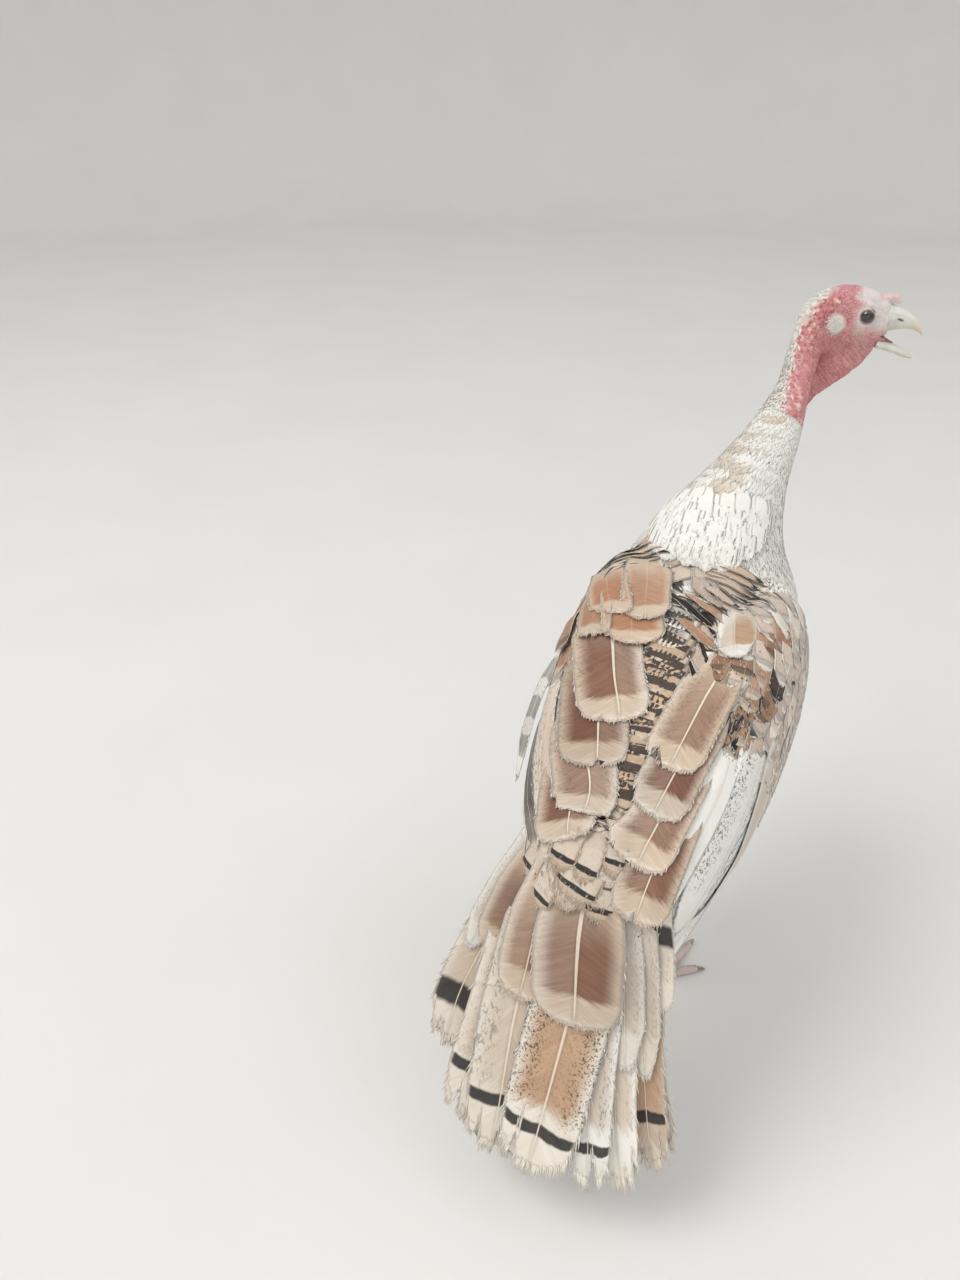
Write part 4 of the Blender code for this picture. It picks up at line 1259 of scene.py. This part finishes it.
# pale feathers beside them, outermost first: places, widths left and right of the shaft in mm, kind, its marks
outer = {
    "right": [([(-94, -40, 425), (-98, 6, 399), (-98.5, 58, 366), (-96, 78, 337), (-89, 107, 294), (-77, 160, 261)],
               12, 19, "cream", (0.6, 0, 0, 0.9)),
              ([(-80, 20, 425), (-87, 60, 393), (-89, 84, 370), (-89, 103, 352), (-82, 143, 325), (-75, 168, 307),
                (-64, 200, 280)], 5, 30, "secondary", (0.1, 0, 1.15, 0.5)),
              ([(-64, 60, 420), (-66, 98, 392), (-66, 122, 373), (-60, 158, 349), (-52, 184, 331), (-46, 206, 306)],
               11, 17, "secondary", (0.1, 0, 0, 0.5))],
    "left": [([(104, 50, 395), (99, 95, 370), (88, 138, 347), (69, 176, 340), (52, 203, 327)],
              9, 8, "shadedDarkPrimary", (0.5, 0, 1.4, 0.9)),
             ([(100, 40, 418), (97, 80, 398), (84, 124, 374), (64, 165, 359), (49, 192, 341)],
              13, 11, "cream", (0.4, 0, 0.9, 0.9)),
             ([(94, 40, 428), (91, 80, 404), (78, 124, 380), (60, 162, 362), (47, 190, 345)],
              9, 9, "innerVane", (0.5, 0, 0.9, 0.9))],
}
# closed primaries along the lower hind edge: place in mm and its change from one to the next; the drop's share
primaries = [((91, 20, 292), (-2.2, 6), 1.0), ((86, 90, 278), (-1.6, 0), 1.0), ((74, 155, 264), (-1.4, 0), 0.7),
             ((60, 214, 254), (-1.2, -4), 0.4)]
looseLine = [(104, 34, 412), (116.5, 52, 378), (118.5, 80, 346), (116.5, 105, 304)]
primaryShape = dict(stations=22, columns=7, low=0.0, high=0.0, blunt=0.05, notch=0.004, fringe=14, barb=0.004,
                    rootWidth=0.7, thick=0.0008)
secondaryShape = dict(stations=24, columns=9, notch=0.006, fringe=22, barb=0.005)
outerShape = dict(stations=26, columns=13, low=-0.002, notch=0.005, barb=0.005)
looseShape = dict(stations=22, columns=7, low=0.0, high=0.0, blunt=0.35, notch=0.01, splits=1, fringe=30, barb=0.004,
                  rootWidth=0.5)
tertialShape = dict(stations=24, columns=17, low=-0.002, blunt=0.06, notch=0.005, splits=1, fringe=80, barb=0.0045,
                    rootWidth=0.7, droop=0.0010, tipLift=0.0012)


# the way out of the coat under a line of places, and a lie that drapes over the coat seen that way
def drapeLie(line):
    out = sum((coatTree.find_nearest(Vector(p))[1] for p in line), Vector()).normalized()

    def settle(place, lift):
        hit, _, _, _ = coatTree.ray_cast(place + out * 0.03, -out)
        return (hit if hit is not None and (hit - place).length < 0.035 else place) + out * lift, out
    return out, settle


# a lie that keeps every place where it is
def freeLie(out):
    return lambda place, lift: (place + out * lift, out)


def wingWalk(side):
    sign, moveX, moveY, moveZ = wingMove[side]
    return [(sign * out + moveX, y + moveY, z + moveZ, 0.11) for out, y, z in wingLine]


def wingSpot(side, share, degrees):
    sign, moveX, moveY, moveZ = wingMove[side]
    line = smoothLine(wingLine, 60)
    k = min(max(share, 0.0), 1.0) * 59
    low = line[int(k)]
    out, y, z = low + (line[min(int(k) + 1, 59)] - low) * (k - int(k))
    centre = Vector((sign * out + moveX, y + moveY, z + moveZ))
    angle = math.radians(degrees)
    way = Vector((sign * math.cos(angle), 0, math.sin(angle)))
    hit, _, _, _ = coatTree.ray_cast(centre + way * 0.16, -way)
    return hit if hit is not None else centre


# a line over the wing between two (share of its length, degrees round it)
def wingPath(side, start, end, count=10):
    start, end = np.array(start), np.array(end)
    return smoothLine([wingSpot(side, *(start + (end - start) * s)) for s in np.linspace(0, 1, count)], count + 4)


def makeBigWing(side):
    coat = BigCoat(6)
    sign, moveX, moveY, moveZ = wingMove[side]
    for order in range(7):
        drop = order * 0.0042
        line = [(sign * (x / 1000 + dx / 1000 * order) + moveX, y / 1000 + dy / 1000 * order + moveY,
                 z / 1000 - share * drop + moveZ) for (x, y, z), (dx, dy), share in primaries]
        # the left primaries are dark grey, partly painted shade of the wing's shadowed side; the right ones are pale
        coat.add(smoothLine(line, 14), 0.008, 0.010, freeLie(Vector((sign, 0, 0.35)).normalized()),
                 styleRow("shadedDarkPrimary" if side == "left" else "primary"), **primaryShape)
    # secondaries, from the lowest up to the edge of the back
    count = 12 if side == "left" else 9
    for order in range(count):
        level = order / (count - 1)
        path = wingPath(side, (0.33 + 0.03 * level, -34 + 142 * level), (0.985 - 0.06 * level, 0 + 78 * level))
        coat.add(path, 0.017, 0.017, onCoat, styleRow("secondary" if level < 0.62 else "innerVane", web=0.5 * sign),
                 high=0.0006 + 0.0008 * level, **secondaryShape)
    for order, (places, left, right, kind, marks) in enumerate(outer[side]):
        coat.add(overCoat(metres(places), 16), left / 1000, right / 1000, onCoat, styleRow(kind, marks=marks),
                 high=0.0024 + 0.0005 * order, **outerShape)
    if side == "left":
        # one barred feather has worked loose and hangs off the wing's edge
        coat.add(smoothLine(metres(looseLine), 14), 0.0058, 0.0058, freeLie(Vector((0.35, 0.75, 0.45)).normalized()),
                 styleRow("barred"), **looseShape)
    for order, (root, tip, half) in enumerate(tertials[side]):
        style = styleRow("tertial", web=-0.35 if side == "left" else 0.3)
        half /= 1000
        widths = (0.84 * half, 1.14 * half) if side == "left" else (half, half)
        line = smoothLine(overCoat(metres([root, tip])), 14)
        out, settle = drapeLie(line)
        coat.add(line, *widths, settle, style, high=0.0044 + 0.0003 * order, bridge=out, **tertialShape)
    return coatMesh(coat.batches)


# broad coverts over the left shoulder, hindmost first: places and half width in mm, kind
plates = [([(59, -10, 468), (49, 22, 451), (41, 43, 434)], 24.0, "plate"),
          ([(84, -6, 460), (73, 32, 450), (66, 52, 440)], 15.0, "plate"),
          ([(100, 0, 436), (97, 26, 429), (93, 50, 420)], 12.0, "spotted"),
          ([(86, -30, 465), (70, 6, 461), (59, 30, 451)], 18.0, "plate"),
          ([(55, -46, 474), (43, -8, 457), (34, 22, 447)], 20.0, "plate")]
plateShape = dict(stations=16, columns=13, low=-0.002, blunt=0.08, notch=0.014, splits=1, fringe=50, barb=0.005,
                  rootWidth=0.8, droop=0.001)
slippedLine = [(-34, -26, 457), (-44, 2, 452), (-53, 34, 443)]
slippedShape = dict(stations=16, columns=13, low=0.002, high=0.0062, blunt=0.50, notch=0.012, fringe=60, barb=0.0035,
                    rootWidth=0.62, fullFrom=0.35, droop=0.004)


# middling coverts over the shoulder, and on the right one pale round feather that has slipped
def makeShoulder(side):
    coat = BigCoat(20)
    sign = wingMove[side][0]

    def grow(hit, normal, flow, share, angle, length):
        if ownerOf(hit) != "wing_" + side or normal.z < -0.2:
            return
        reach = 0.055 if side == "left" else 0.090
        if hit.y > reach - 0.04 * (normal.z < 0.3) or hit.z < 0.31 + 0.05 * (hit.y < -0.02):
            return
        splay = sign * float(np.interp(hit.y, [-0.06, 0.0, 0.04], [1.0, 0.45, -0.25])) * max(normal.z, 0.0)
        way = lieOf(flow + Vector((splay, 0, 0)), normal, rng.normal(0, 0.10))
        chance = rng.random()
        half, long = 0.0130, 0.046
        if hit.y < -0.075 - 0.3 * (0.45 - hit.z):
            return
        if hit.y < -0.028 or normal.z < 0.35:
            kind, half = ("fringed", 0.0105) if chance < 0.7 else ("cream", 0.0110)
        elif side == "left":
            kind, half, long = ("plate", 0.0150, 0.048) if chance < 0.8 else ("spotted", 0.0130, 0.042)
        else:
            kind = ("orange" if chance < 0.4 else "spotted" if chance < 0.65 else "dark" if chance < 0.69
                    else "fringed")
        middling(coat, hit, way, long, half, kind, high=0.0030 - 0.016 * max(hit.y, 0.0), flow=flow, shaft=0.3)

    walk(wingWalk(side), lambda share: 0.040, 0.42 if side == "right" else 0.46, grow, rowGap=0.36)
    for order, (places, half, kind) in enumerate(plates if side == "left" else ()):
        places, half = metres(places), 1.1 * (half / 1000)
        out, settle = drapeLie(overCoat(places))
        coat.add(overCoat(places, 12), half, half, settle, styleRow(kind, shaft=0.15), high=0.0072 + 0.0004 * order,
                 bridge=out, **plateShape)
    if side == "right":
        style = styleRow("cream", colours="cream tan white", web=1.0, marks=(1.1, 0.0, 0.1, 1.2), shaft=0.4)
        coat.add(overCoat(metres(slippedLine), 10), 0.0200, 0.0225, onCoat, style, **slippedShape)
    return coatMesh(coat.batches)


def wingKind(p, share, normal):
    if normal.z < -0.1 or p.z < 0.32:
        return "belly"
    if p.y < -0.075 - 0.3 * (0.45 - p.z):
        return "white"
    if share < 0.18:
        return "fringed" if rng.random() < 0.8 else "cream"
    if normal.z < 0.45:
        return "cream" if rng.random() < 0.7 else "fringed"
    return "cinnamon" if rng.random() < 0.72 else "spotted"


def makeWingCoverts(side):
    items = []

    def grow(hit, normal, flow, share, angle, length):
        if ownerOf(hit) != "wing_" + side or (share > 0.40 and normal.z > -0.15):
            return
        way = lieOf(flow, normal, rng.normal(0, 0.14))
        size = length * rng.uniform(0.85, 1.15)
        kind = wingKind(hit, share, normal)
        vane = smallFeather(coatTree, hit - way * size * 0.4, way, size, size * 0.32, min(0.18 * size, 0.0045),
                            rng.uniform(0.0, 0.0012))
        items.append((vane, styleRow(kind), walkSpot(angle, share), small["thick"]))

    walk(wingWalk(side), lambda share: 0.020 + 0.016 * share, 0.30, grow)
    return smallCoat(items)


# how a feather looks: blotch, pale web, fringe, speckles, bands, rim line, bar, barbs, shaft and a painted shadow
# beside it
def patternGroup():
    tree, make, inputs, outputs = newGroup(
        "feather pattern",
        [("Place", "Vector"), ("Ground", "Color"), ("Seed", "Float"), ("Centre", "Color"), ("Shaft", "Float"),
         ("Edge", "Color"), ("Pale Web", "Float"), ("Marks", "Vector"), ("Fringe", "Float"), ("Layout", "Vector"),
         ("Bands", "Float")],
        [("Colour", "Color"), ("Height", "Float")])
    u, v, _ = make.parts(inputs["Place"])
    blotch, bar, speckle = make.parts(inputs["Marks"])
    blotchFrom, barAt, barWide = make.parts(inputs["Layout"])
    shaft, edge = inputs["Shaft"], inputs["Edge"]
    bands = make.most(inputs["Bands"], 0.0)
    rimLine = make.most(inputs["Bands"] * -1.0, 0.0)
    broad = make.most(inputs["Fringe"] - 1.0, 0.0)
    seed = inputs["Seed"] * 37.0
    across = u * 2.0 - 1.0
    off = abs(across)
    run = v - off * 0.16                         # barbs run outwards and towards the tip
    streaks = make.noise(make.vector(run * 34.0, across * 1.3, seed), 1.0, 3.0, 0.65)
    fine = make.noise(make.vector(run * 120.0, across * 2.0, seed), 1.0, 2.0, 0.6)
    soft = make.noise(make.vector(v * 3.0, across * 1.6, seed), 1.0, 2.0)
    level = v - off * 0.03
    frayed = level + (streaks - 0.5) * 0.10
    # blotch: fades in towards the tip and ends sharply
    lower = make.ramp(frayed + soft * 0.25 - blotchFrom, 0.0, 0.62)
    blotchMask = make.math("MULTIPLY", lower * make.ramp(frayed, 0.82, 0.76), make.ramp(off, 1.0, 0.55) * blotch,
                           clamp=True)
    colour = make.mix(blotchMask, inputs["Ground"], inputs["Centre"])
    # the web on one side may be paler
    paleSide = across * make.math("SIGN", inputs["Pale Web"])
    web = make.ramp(paleSide, -0.04, 0.10) * abs(inputs["Pale Web"])
    colour = make.mix(web * 0.62, colour, inputs["Ground"])
    colour = make.mix(web * make.ramp(off, 0.45, 0.9), colour, edge)
    # pale fringe round the edge and the tip, broader where Fringe is more than one
    rim = make.most(make.ramp(off, 0.93 - broad * 0.3, 1.0), make.ramp(frayed, 0.91 - broad * 0.35, 1.0))
    colour = make.mix(rim * make.least(inputs["Fringe"], 1.0), colour, edge)
    # speckles gather towards the edges; more than one means finer specks over the whole web
    large = make.ramp(speckle, 1.0, 1.3)
    dots = make.noise(make.vector(v * (large * 80.0 + 46.0), across * (large * 8.0 + 9.0), seed), 1.0, 2.0, 0.55, 0.8)
    where = make.most(make.ramp(off, 0.22, 0.55), large * 0.30)
    dotMask = make.ramp(dots, 0.54, 0.61) * (where * make.ramp(frayed, 0.86, 0.76)) * make.least(speckle, 1.0)
    colour = make.mix(dotMask * 0.80, colour, paint(60, 54, 48))
    # dark bands, and a dark line that follows the rim
    wavy = (level + (streaks - 0.5) * 0.035) * 21.0 + seed
    bandMask = make.ramp(make.math("SINE", wavy), -0.35, 0.05) * bands
    colour = make.mix(bandMask * make.ramp(off, 0.99, 0.86), colour, paint(34, 32, 34))
    rimPlace = make.math("SMOOTH_MAX", off, frayed, 0.35)
    lineFrom = 0.78 - make.most(rimLine - 1.0, 0.0) * 0.35
    line = make.ramp(rimPlace, lineFrom - 0.06, lineFrom) * make.ramp(rimPlace, 0.91, 0.87)
    colour = make.mix(line * make.least(rimLine, 1.0), colour, paint(38, 34, 34))
    # dark bar near the tip
    ragged = (streaks - 0.5) * 0.5 + (soft - 0.5) * 1.1
    wave = level + ragged * make.least(barWide, 0.020)
    gap = abs(wave - barAt) / barWide
    barMask = make.ramp(gap, 1.25, 0.75) * bar * make.ramp(off, 1.0, 0.86)
    colour = make.mix(barMask * 0.95, colour, paint(30, 28, 30))
    # barb streaks, the pale shaft and a brown painted shadow beside it
    colour = make.mix(make.ramp(streaks, 0.35, 0.75, 0.0, 0.30), colour, (1, 1, 1, 1), "SOFT_LIGHT")
    colour = make.mix(make.ramp(fine, 0.60, 0.35, 0.0, 0.18), colour, (0, 0, 0, 1), "SOFT_LIGHT")
    thin = off / (1.25 - v)
    shaftMask = make.ramp(thin, 0.060, 0.034) * (shaft * make.ramp(v, 0.97, 0.9))
    # a brown band along the shaft: painted shadow beside it
    colour = make.mix(make.ramp(off, 0.12, 0.05) * (shaft * 0.16), colour, paint(92, 66, 52))
    make.put(outputs["Colour"], make.mix(shaftMask * 0.85, colour, paint(238, 226, 206)))
    make.put(outputs["Height"], streaks * 0.6 + fine * 0.4 + shaftMask * 0.8)
    return tree


pattern = patternGroup()


def plumage(name, rough, gleam):
    def fill(make):
        sockets = {"Place": make.uv("featherUV")}
        for attribute, tone, first, second in (("ground", "Color", "Ground", "Seed"),
                                               ("centre", "Color", "Centre", "Shaft"),
                                               ("edge", "Color", "Edge", "Pale Web"),
                                               ("marks", "Vector", "Marks", "Fringe"),
                                               ("layout", "Vector", "Layout", "Bands")):
            source = make.attribute(attribute)
            sockets[first], sockets[second] = source[tone], source["Alpha"]
        look = make.wires(make.node("Group", sockets, node_tree=pattern))
        return {"Base Color": look["Colour"], "Normal": make.bump(look["Height"], 0.55, 0.0006), "Roughness": rough,
                "Specular IOR Level": gleam, "Sheen Weight": 0.12}
    return newMaterial(name, fill)


# slot: roughness and gleam
coats = {slot: plumage(slot, rough, gleam) for slot, rough, gleam in
         (("body_plumage", 0.82, 0.25), ("wing_plumage", 0.70, 0.35), ("tail_plumage", 0.72, 0.35))}


def showCoat(name, mesh, slot, stands=()):
    shown(name, mesh, coats[slot], stands)
    print("coat piece", name, trianglesOf(mesh))


for part, items in bodyItems.items():
    showCoat(part + "_feathers", smallCoat(items), "body_plumage")
showCoat("thigh_feathers", smallCoat(thighItems), "body_plumage")
showCoat("tail_feathers", makeTail(), "tail_plumage", ["tail"])
showCoat("tail_covert_feathers", makeTailCoverts(), "tail_plumage")
showCoat("rump_feathers", makeRump(), "body_plumage")
showCoat("back_feathers", makeBackFeathers(), "body_plumage")
for side in sides:
    showCoat("shoulder_feathers_" + side, makeShoulder(side), "wing_plumage")
    showCoat("wing_feathers_" + side, makeBigWing(side), "wing_plumage", ["primaries_" + side])
    showCoat("wing_coverts_" + side, makeWingCoverts(side), "wing_plumage")


# down on the nape, bristles over the ear: how many tries, length, width and how far they stand off
napeSet = {"nape": (9500, 0.0120, 0.0014, 0.0014), "ear": (15000, 0.0052, 0.0006, 0.0014)}
headTree = treeOf(skin.data)
neckWays = [(Vector(a), (Vector(a) - Vector(b)).normalized()) for a, b in zip(bodyLine[9:], bodyLine[10:])]


def makeNape():
    items = []
    back = headFrame.to_3x3() @ Vector((-1, 0, -0.35))

    def nape(x, y, z):
        return (x < napeEdge(z) - 1 + rng.normal(0, 1.6, len(x))) & (z > -135) & (z < 24)

    def ear(x, y, z):
        return earGap(x, z, 8.2, 9.4) < 1

    for wanted in (nape, ear):
        tries, long, wide, stand = napeSet[wanted.__name__]
        for place, normal in scatter(skin.data, tries, wanted):
            if place.z < 0.53:
                continue
            spot = headBack @ place
            flow = back if spot.z > -0.022 else min(neckWays, key=lambda pair: (pair[0] - place).length)[1]
            length = long * rng.uniform(0.7, 1.2)
            vane = smallFeather(headTree, place, lieOf(flow, normal, rng.normal(0, 0.35)), length,
                                wide * rng.uniform(0.8, 1.3), 0.0008, stand * rng.uniform(0.2, 1.0), point=0.3)
            items.append((vane, styleRow("down", shaft=0.3), (0.5 + 4 * spot.y, 0.8 + 4 * spot.z), small["thick"]))
    print("nape and ear", len(items))
    return smallCoat(items)


showCoat("nape_feathers", makeNape(), "body_plumage")


# bill, tongue, eyes and claws
def paintTone(mesh, colour):
    layer = mesh.attributes.new("tone", "FLOAT_COLOR", "POINT")
    rgba = np.column_stack([np.broadcast_to(colour, (len(mesh.vertices), 3)), np.ones(len(mesh.vertices))])
    layer.data.foreach_set("color", rgba.ravel())


def horn(name, rough, streak):
    def fill(make):
        cloud = make.noise(make.spot(), streak, 3.0, 0.6)
        fine = make.noise(make.spot(), streak * 5, 2.0, 0.6)
        stain = make.ramp(cloud, 0.35, 0.7, 0.0, 0.22)
        return {"Base Color": make.mix(stain, make.attribute("tone")["Color"], paint(160, 152, 142)),
                "Normal": make.bump(fine, 0.25, 0.0002),
                "Roughness": make.ramp(fine, 0.3, 0.7, rough - 0.06, rough + 0.08)}
    return newMaterial(name, fill)


def billMesh(node):
    mesh = remeshed(gathered([node], 0.0), 0.00045, 5, 200)
    co, _ = meshArrays(mesh)
    normals = vertNormals(mesh)
    x, y, z = inHead(co).T * 1000
    move = 0.05 * np.sin(x * 3.1) * step(50, 30, x)
    colour = blendTint(srgb(220, 221, 214), srgb(230, 218, 190), step(36, 52, x))
    if node == "bill_lower":
        move += 2.5 * step(58, 38, x) * step(0.2, -0.6, normals[:, 2])
    if node == "bill_upper":
        move += 0.5 * step(30, 22, x)
        slit = np.hypot((x - 31.5) / 3.2, (z + 3.0 + 0.30 * (x - 31.5)) / 1.25)               # nostril
        move -= 0.9 * (1 - step(0.6, 1.3, slit))
        move += 0.35 * patch(x, z, 31, -1.2, 3.6, 1.1)
        # the nostril is painted near black: painted shade inside its opening
        colour = blendTint(colour, srgb(70, 62, 60), 0.95 * (1 - step(0.6, 1.2, slit)))
    setPlaces(mesh, co + normals * (move / 1000)[:, None])
    paintTone(mesh, blendTint(colour, srgb(228, 220, 190), 0.6 * step(-0.35, -0.7, normals[:, 2])))
    return mesh


def eyeMesh(sign):
    bm = bmesh.new()
    bmesh.ops.create_uvsphere(bm, u_segments=48, v_segments=40, radius=head["eyeRadius"])
    angles = []
    for v in bm.verts:
        angle = v.co.angle(Vector((0, 0, 1)))
        angles.append(math.degrees(angle))
        v.co *= 1 + 0.05 * float(step(0.85, 0.2, angle))
    aim = Vector((0.16, sign, 0.05)).to_track_quat("Z", "Y").to_matrix().to_4x4()
    put = headFrame @ Matrix.Translation((0, sign * head["eyeSide"], 0)) @ aim
    bmesh.ops.transform(bm, verts=bm.verts, matrix=put)
    mesh = meshOf(bm, "eye")
    layer = mesh.attributes.new("fromAxis", "FLOAT", "POINT")
    layer.data.foreach_set("value", angles)
    return mesh


def glossyEye(make):
    far = make.attribute("fromAxis")["Fac"]
    iris = make.mix(make.ramp(make.noise(make.spot(), 1400.0, 2.0, 0.6), 0.35, 0.65), paint(46, 41, 41),
                    paint(72, 63, 60))
    colour = make.mix(make.ramp(far, 21.0, 24.0), (0.004, 0.004, 0.005, 1), iris)
    colour = make.mix(make.ramp(far, 38.0, 46.0), colour, paint(44, 34, 32))
    return {"Base Color": colour, "Roughness": 0.08, "Coat Weight": 1.0, "Coat Roughness": 0.02}


def clawMesh(claws):
    mesh = remeshed(gathered(claws, 0.0), 0.00035, 4, 60)
    shade = noiseAt(meshArrays(mesh)[0], 300)
    paintTone(mesh, blendTint(srgb(186, 172, 158), srgb(112, 98, 88), step(-0.4, 0.5, shade)))
    return mesh


billHorn = horn("bill_horn", 0.38, 160.0)
eyeGloss = newMaterial("eye", glossyEye)
clawHorn = horn("claw_horn", 0.42, 220.0)
for node in ("bill_upper", "bill_lower"):
    shown(node + "_horn", billMesh(node), billHorn, [node])
for side in ("left", "right"):
    spots = [v.co for v in nodes["eye_" + side].data.vertices]
    sign = 1 if (headBack @ (sum(spots, Vector()) / len(spots))).y > 0 else -1
    shown("eyeball_" + side, eyeMesh(sign), eyeGloss, ["eye_" + side])
    claws = ["claw_" + toe for toe in toeNames if toe.endswith(side)]
    shown("claws_" + side, clawMesh(claws), clawHorn, claws)
tongueMesh = remeshed(gathered(["tongue"], 0.0), 0.0004, 4, 60)
tongueRoot = min((headBack @ v.co for v in tongueMesh.vertices), key=lambda p: p.x)
tongueMesh.transform(headFrame @ Matrix.Translation(tongueRoot) @ Matrix.Diagonal((0.55, 0.9, 0.8, 1.0))
                     @ Matrix.Translation(-tongueRoot) @ headBack)
paintTone(tongueMesh, srgb(178, 112, 108))
shown("tongue_flesh", tongueMesh, horn("tongue_flesh", 0.35, 400.0), ["tongue"])
print("bill, eyes, tongue and claws")


# scales of shanks and toes
scaleSet = {"ring": 0.0050, "frontHalf": 0.0052, "backHalf": 0.0028, "toeStep": 0.0036, "rise": 0.0005}


def makeScales():
    items = []
    legTree = treeOf(skin.data)

    def addScale(root, way, length, half, spot):
        hit, normal, _, _ = legTree.find_nearest(root)
        way = (way - normal * way.dot(normal)).normalized()
        vane = smallFeather(legTree, hit, way, length, half, 0.0002, scaleSet["rise"], ragged=0.01)
        tone = blendTint(srgb(214, 198, 192), srgb(192, 172, 168), rng.random())
        items.append((vane, list(tone) + [rng.random()] + [0.0] * 16, spot, small["thick"]))

    for number, side in enumerate(sides):
        shank, _ = meshArrays(nodes["shank_" + side].data)
        for level, z in enumerate(np.arange(0.024, shank[:, 2].max() - 0.002, scaleSet["ring"])):
            near = shank[np.abs(shank[:, 2] - z) < 0.012]
            if len(near) < 3:
                continue
            centre = Vector((near[:, 0].min() + near[:, 0].max(), near[:, 1].min() + near[:, 1].max(), 2 * z)) / 2
            for turn in range(12):
                angle = math.radians(30 * turn + 15 * (level % 2) - 90)
                out = Vector((math.cos(angle), math.sin(angle), 0))
                hit, _, _, _ = legTree.ray_cast(centre + out * 0.03, -out)
                if hit is None or (hit - centre).length > 0.02:
                    continue
                front = out.y < -0.7
                addScale(hit, Vector((0, 0, -1)), scaleSet["ring"] * (1.7 if front else 1.3),
                         scaleSet["frontHalf" if front else "backHalf"],
                         (0.05 + 0.45 * number + 0.033 * turn, 0.02 + 1.2 * z))
        low = shank[:, 2] < 0.03
        ankle = shank[low].mean(axis=0) if low.any() else shank[shank[:, 2].argmin()]
        for order, kind in enumerate(("middle", "inner", "outer", "hind")):
            toe, _ = meshArrays(nodes["toe_%s_%s" % (kind, side)].data)
            middle = toe.mean(axis=0)
            axis = np.linalg.svd(toe - middle, full_matrices=False)[2][0]
            if (middle - ankle) @ axis < 0:
                axis = -axis
            along = (toe - middle) @ axis
            for s in np.arange(along.min() + 0.004, along.max() - 0.003, scaleSet["toeStep"]):
                near = toe[np.abs(along - s) < 0.009]
                if len(near) < 3:
                    continue
                width = np.ptp(near @ np.cross(axis, (0, 0, 1))) / 2
                centre = Vector(middle + axis * s)
                top = Vector((centre.x, centre.y, near[:, 2].max() + 0.008))
                hit, _, _, _ = legTree.ray_cast(top, Vector((0, 0, -1)))
                if hit is None or hit.z < near[:, 2].min():
                    continue
                addScale(hit - Vector(axis) * 0.002, Vector(axis), scaleSet["toeStep"] * 1.6, max(0.85 * width, 0.002),
                         (0.05 + 0.45 * number + 0.1 * order, 0.3 + 5 * (s + 0.05)))
    print("scales", len(items))
    return smallCoat(items)


def scaleSkin(make):
    u, v, _ = make.parts(make.uv("featherUV"))
    rim = make.ramp(abs(u - 0.5), 0.36, 0.5)
    cloud = make.noise(make.spot(), 500.0, 3.0, 0.6)
    colour = make.mix(make.ramp(cloud, 0.3, 0.7, 0.0, 0.3), make.attribute("ground")["Color"], paint(150, 126, 120))
    return {"Base Color": make.mix(rim * 0.45, colour, paint(146, 122, 116)), "Normal": make.bump(cloud, 0.2, 0.0002),
            "Roughness": 0.5}


shown("leg_scales", makeScales(), newMaterial("leg_scales", scaleSkin))


# a wide pale floor that sweeps up all round
stageSet = {"floor": 5.5, "bend": 1.5, "wall": 9.0, "steps": 72}


def paleFloor(make):
    return {"Base Color": make.mix(make.noise(make.spot(), 3.0, 3.0), (0.74, 0.73, 0.71, 1), (0.80, 0.79, 0.77, 1)),
            "Roughness": 0.9}


def makeStage():
    bm = bmesh.new()
    middle = bm.verts.new((0, 0, 0))
    rim = bm.verts.new((stageSet["floor"], 0, 0))
    bm.edges.new((middle, rim))
    bmesh.ops.spin(bm, geom=[rim], cent=(stageSet["floor"], 0, stageSet["bend"]), axis=(0, -1, 0),
                   angle=math.pi / 2, steps=12)
    high = max(bm.verts, key=lambda v: v.co.z)
    bm.edges.new((high, bm.verts.new(high.co + Vector((0.3, 0, stageSet["wall"])))))
    bmesh.ops.spin(bm, geom=bm.verts[:] + bm.edges[:], cent=(0, 0, 0), axis=(0, 0, 1), angle=2 * math.pi,
                   steps=stageSet["steps"], use_merge=True)
    bmesh.ops.remove_doubles(bm, verts=bm.verts, dist=0.0001)
    bmesh.ops.recalc_face_normals(bm, faces=bm.faces)
    mesh = meshOf(bm, "floor")
    mesh.shade_smooth()
    mesh.materials.append(newMaterial("pale_floor", paleFloor))
    floor = bpy.data.objects.new("floor", mesh)
    bpy.context.scene.collection.objects.link(floor)


def aimed(obj, place, direction):
    obj.location = place
    obj.rotation_mode = "QUATERNION"
    obj.rotation_quaternion = direction.to_track_quat("-Z", "Y")
    bpy.context.scene.collection.objects.link(obj)


# each lamp: place, what it is aimed at, width, power, colour
lamps = {"key_light": ((1.8, 1.75, 3.8), (0, 0.05, 0.4), 2.4, 80, (1.0, 0.97, 0.92)),
         "sky_light": ((-2.6, -0.8, 3.6), (0, 0, 0.4), 3.6, 28, (0.93, 0.96, 1.0)),
         "fill_light": ((-0.9, 1.9, 0.9), (0, 0, 0.3), 1.6, 5, (1.0, 0.99, 0.97))}


def makeLight():
    world = bpy.data.worlds.new("studio")
    world.use_nodes = True
    background = world.node_tree.nodes["Background"].inputs
    background["Color"].default_value = (0.93, 0.95, 0.98, 1)
    background["Strength"].default_value = 1.05
    bpy.context.scene.world = world
    bpy.context.scene.view_settings.view_transform = "Standard"
    for name, (place, target, size, power, colour) in lamps.items():
        data = bpy.data.lights.new(name, "AREA")
        data.shape = "DISK"
        data.size, data.energy, data.color = size, power, colour
        aimed(bpy.data.objects.new(name, data), place, Vector(target) - Vector(place))


def makeCamera():
    data = bpy.data.cameras.new("camera")
    data.lens = 27.05
    data.sensor_width = 36
    data.clip_start = 0.01
    camera = bpy.data.objects.new("camera", data)
    aimed(camera, (-0.1572, 0.7420, 0.88), Vector((0.37417, -0.76717, -0.52101)))
    bpy.context.scene.camera = camera


makeStage()
makeLight()
makeCamera()
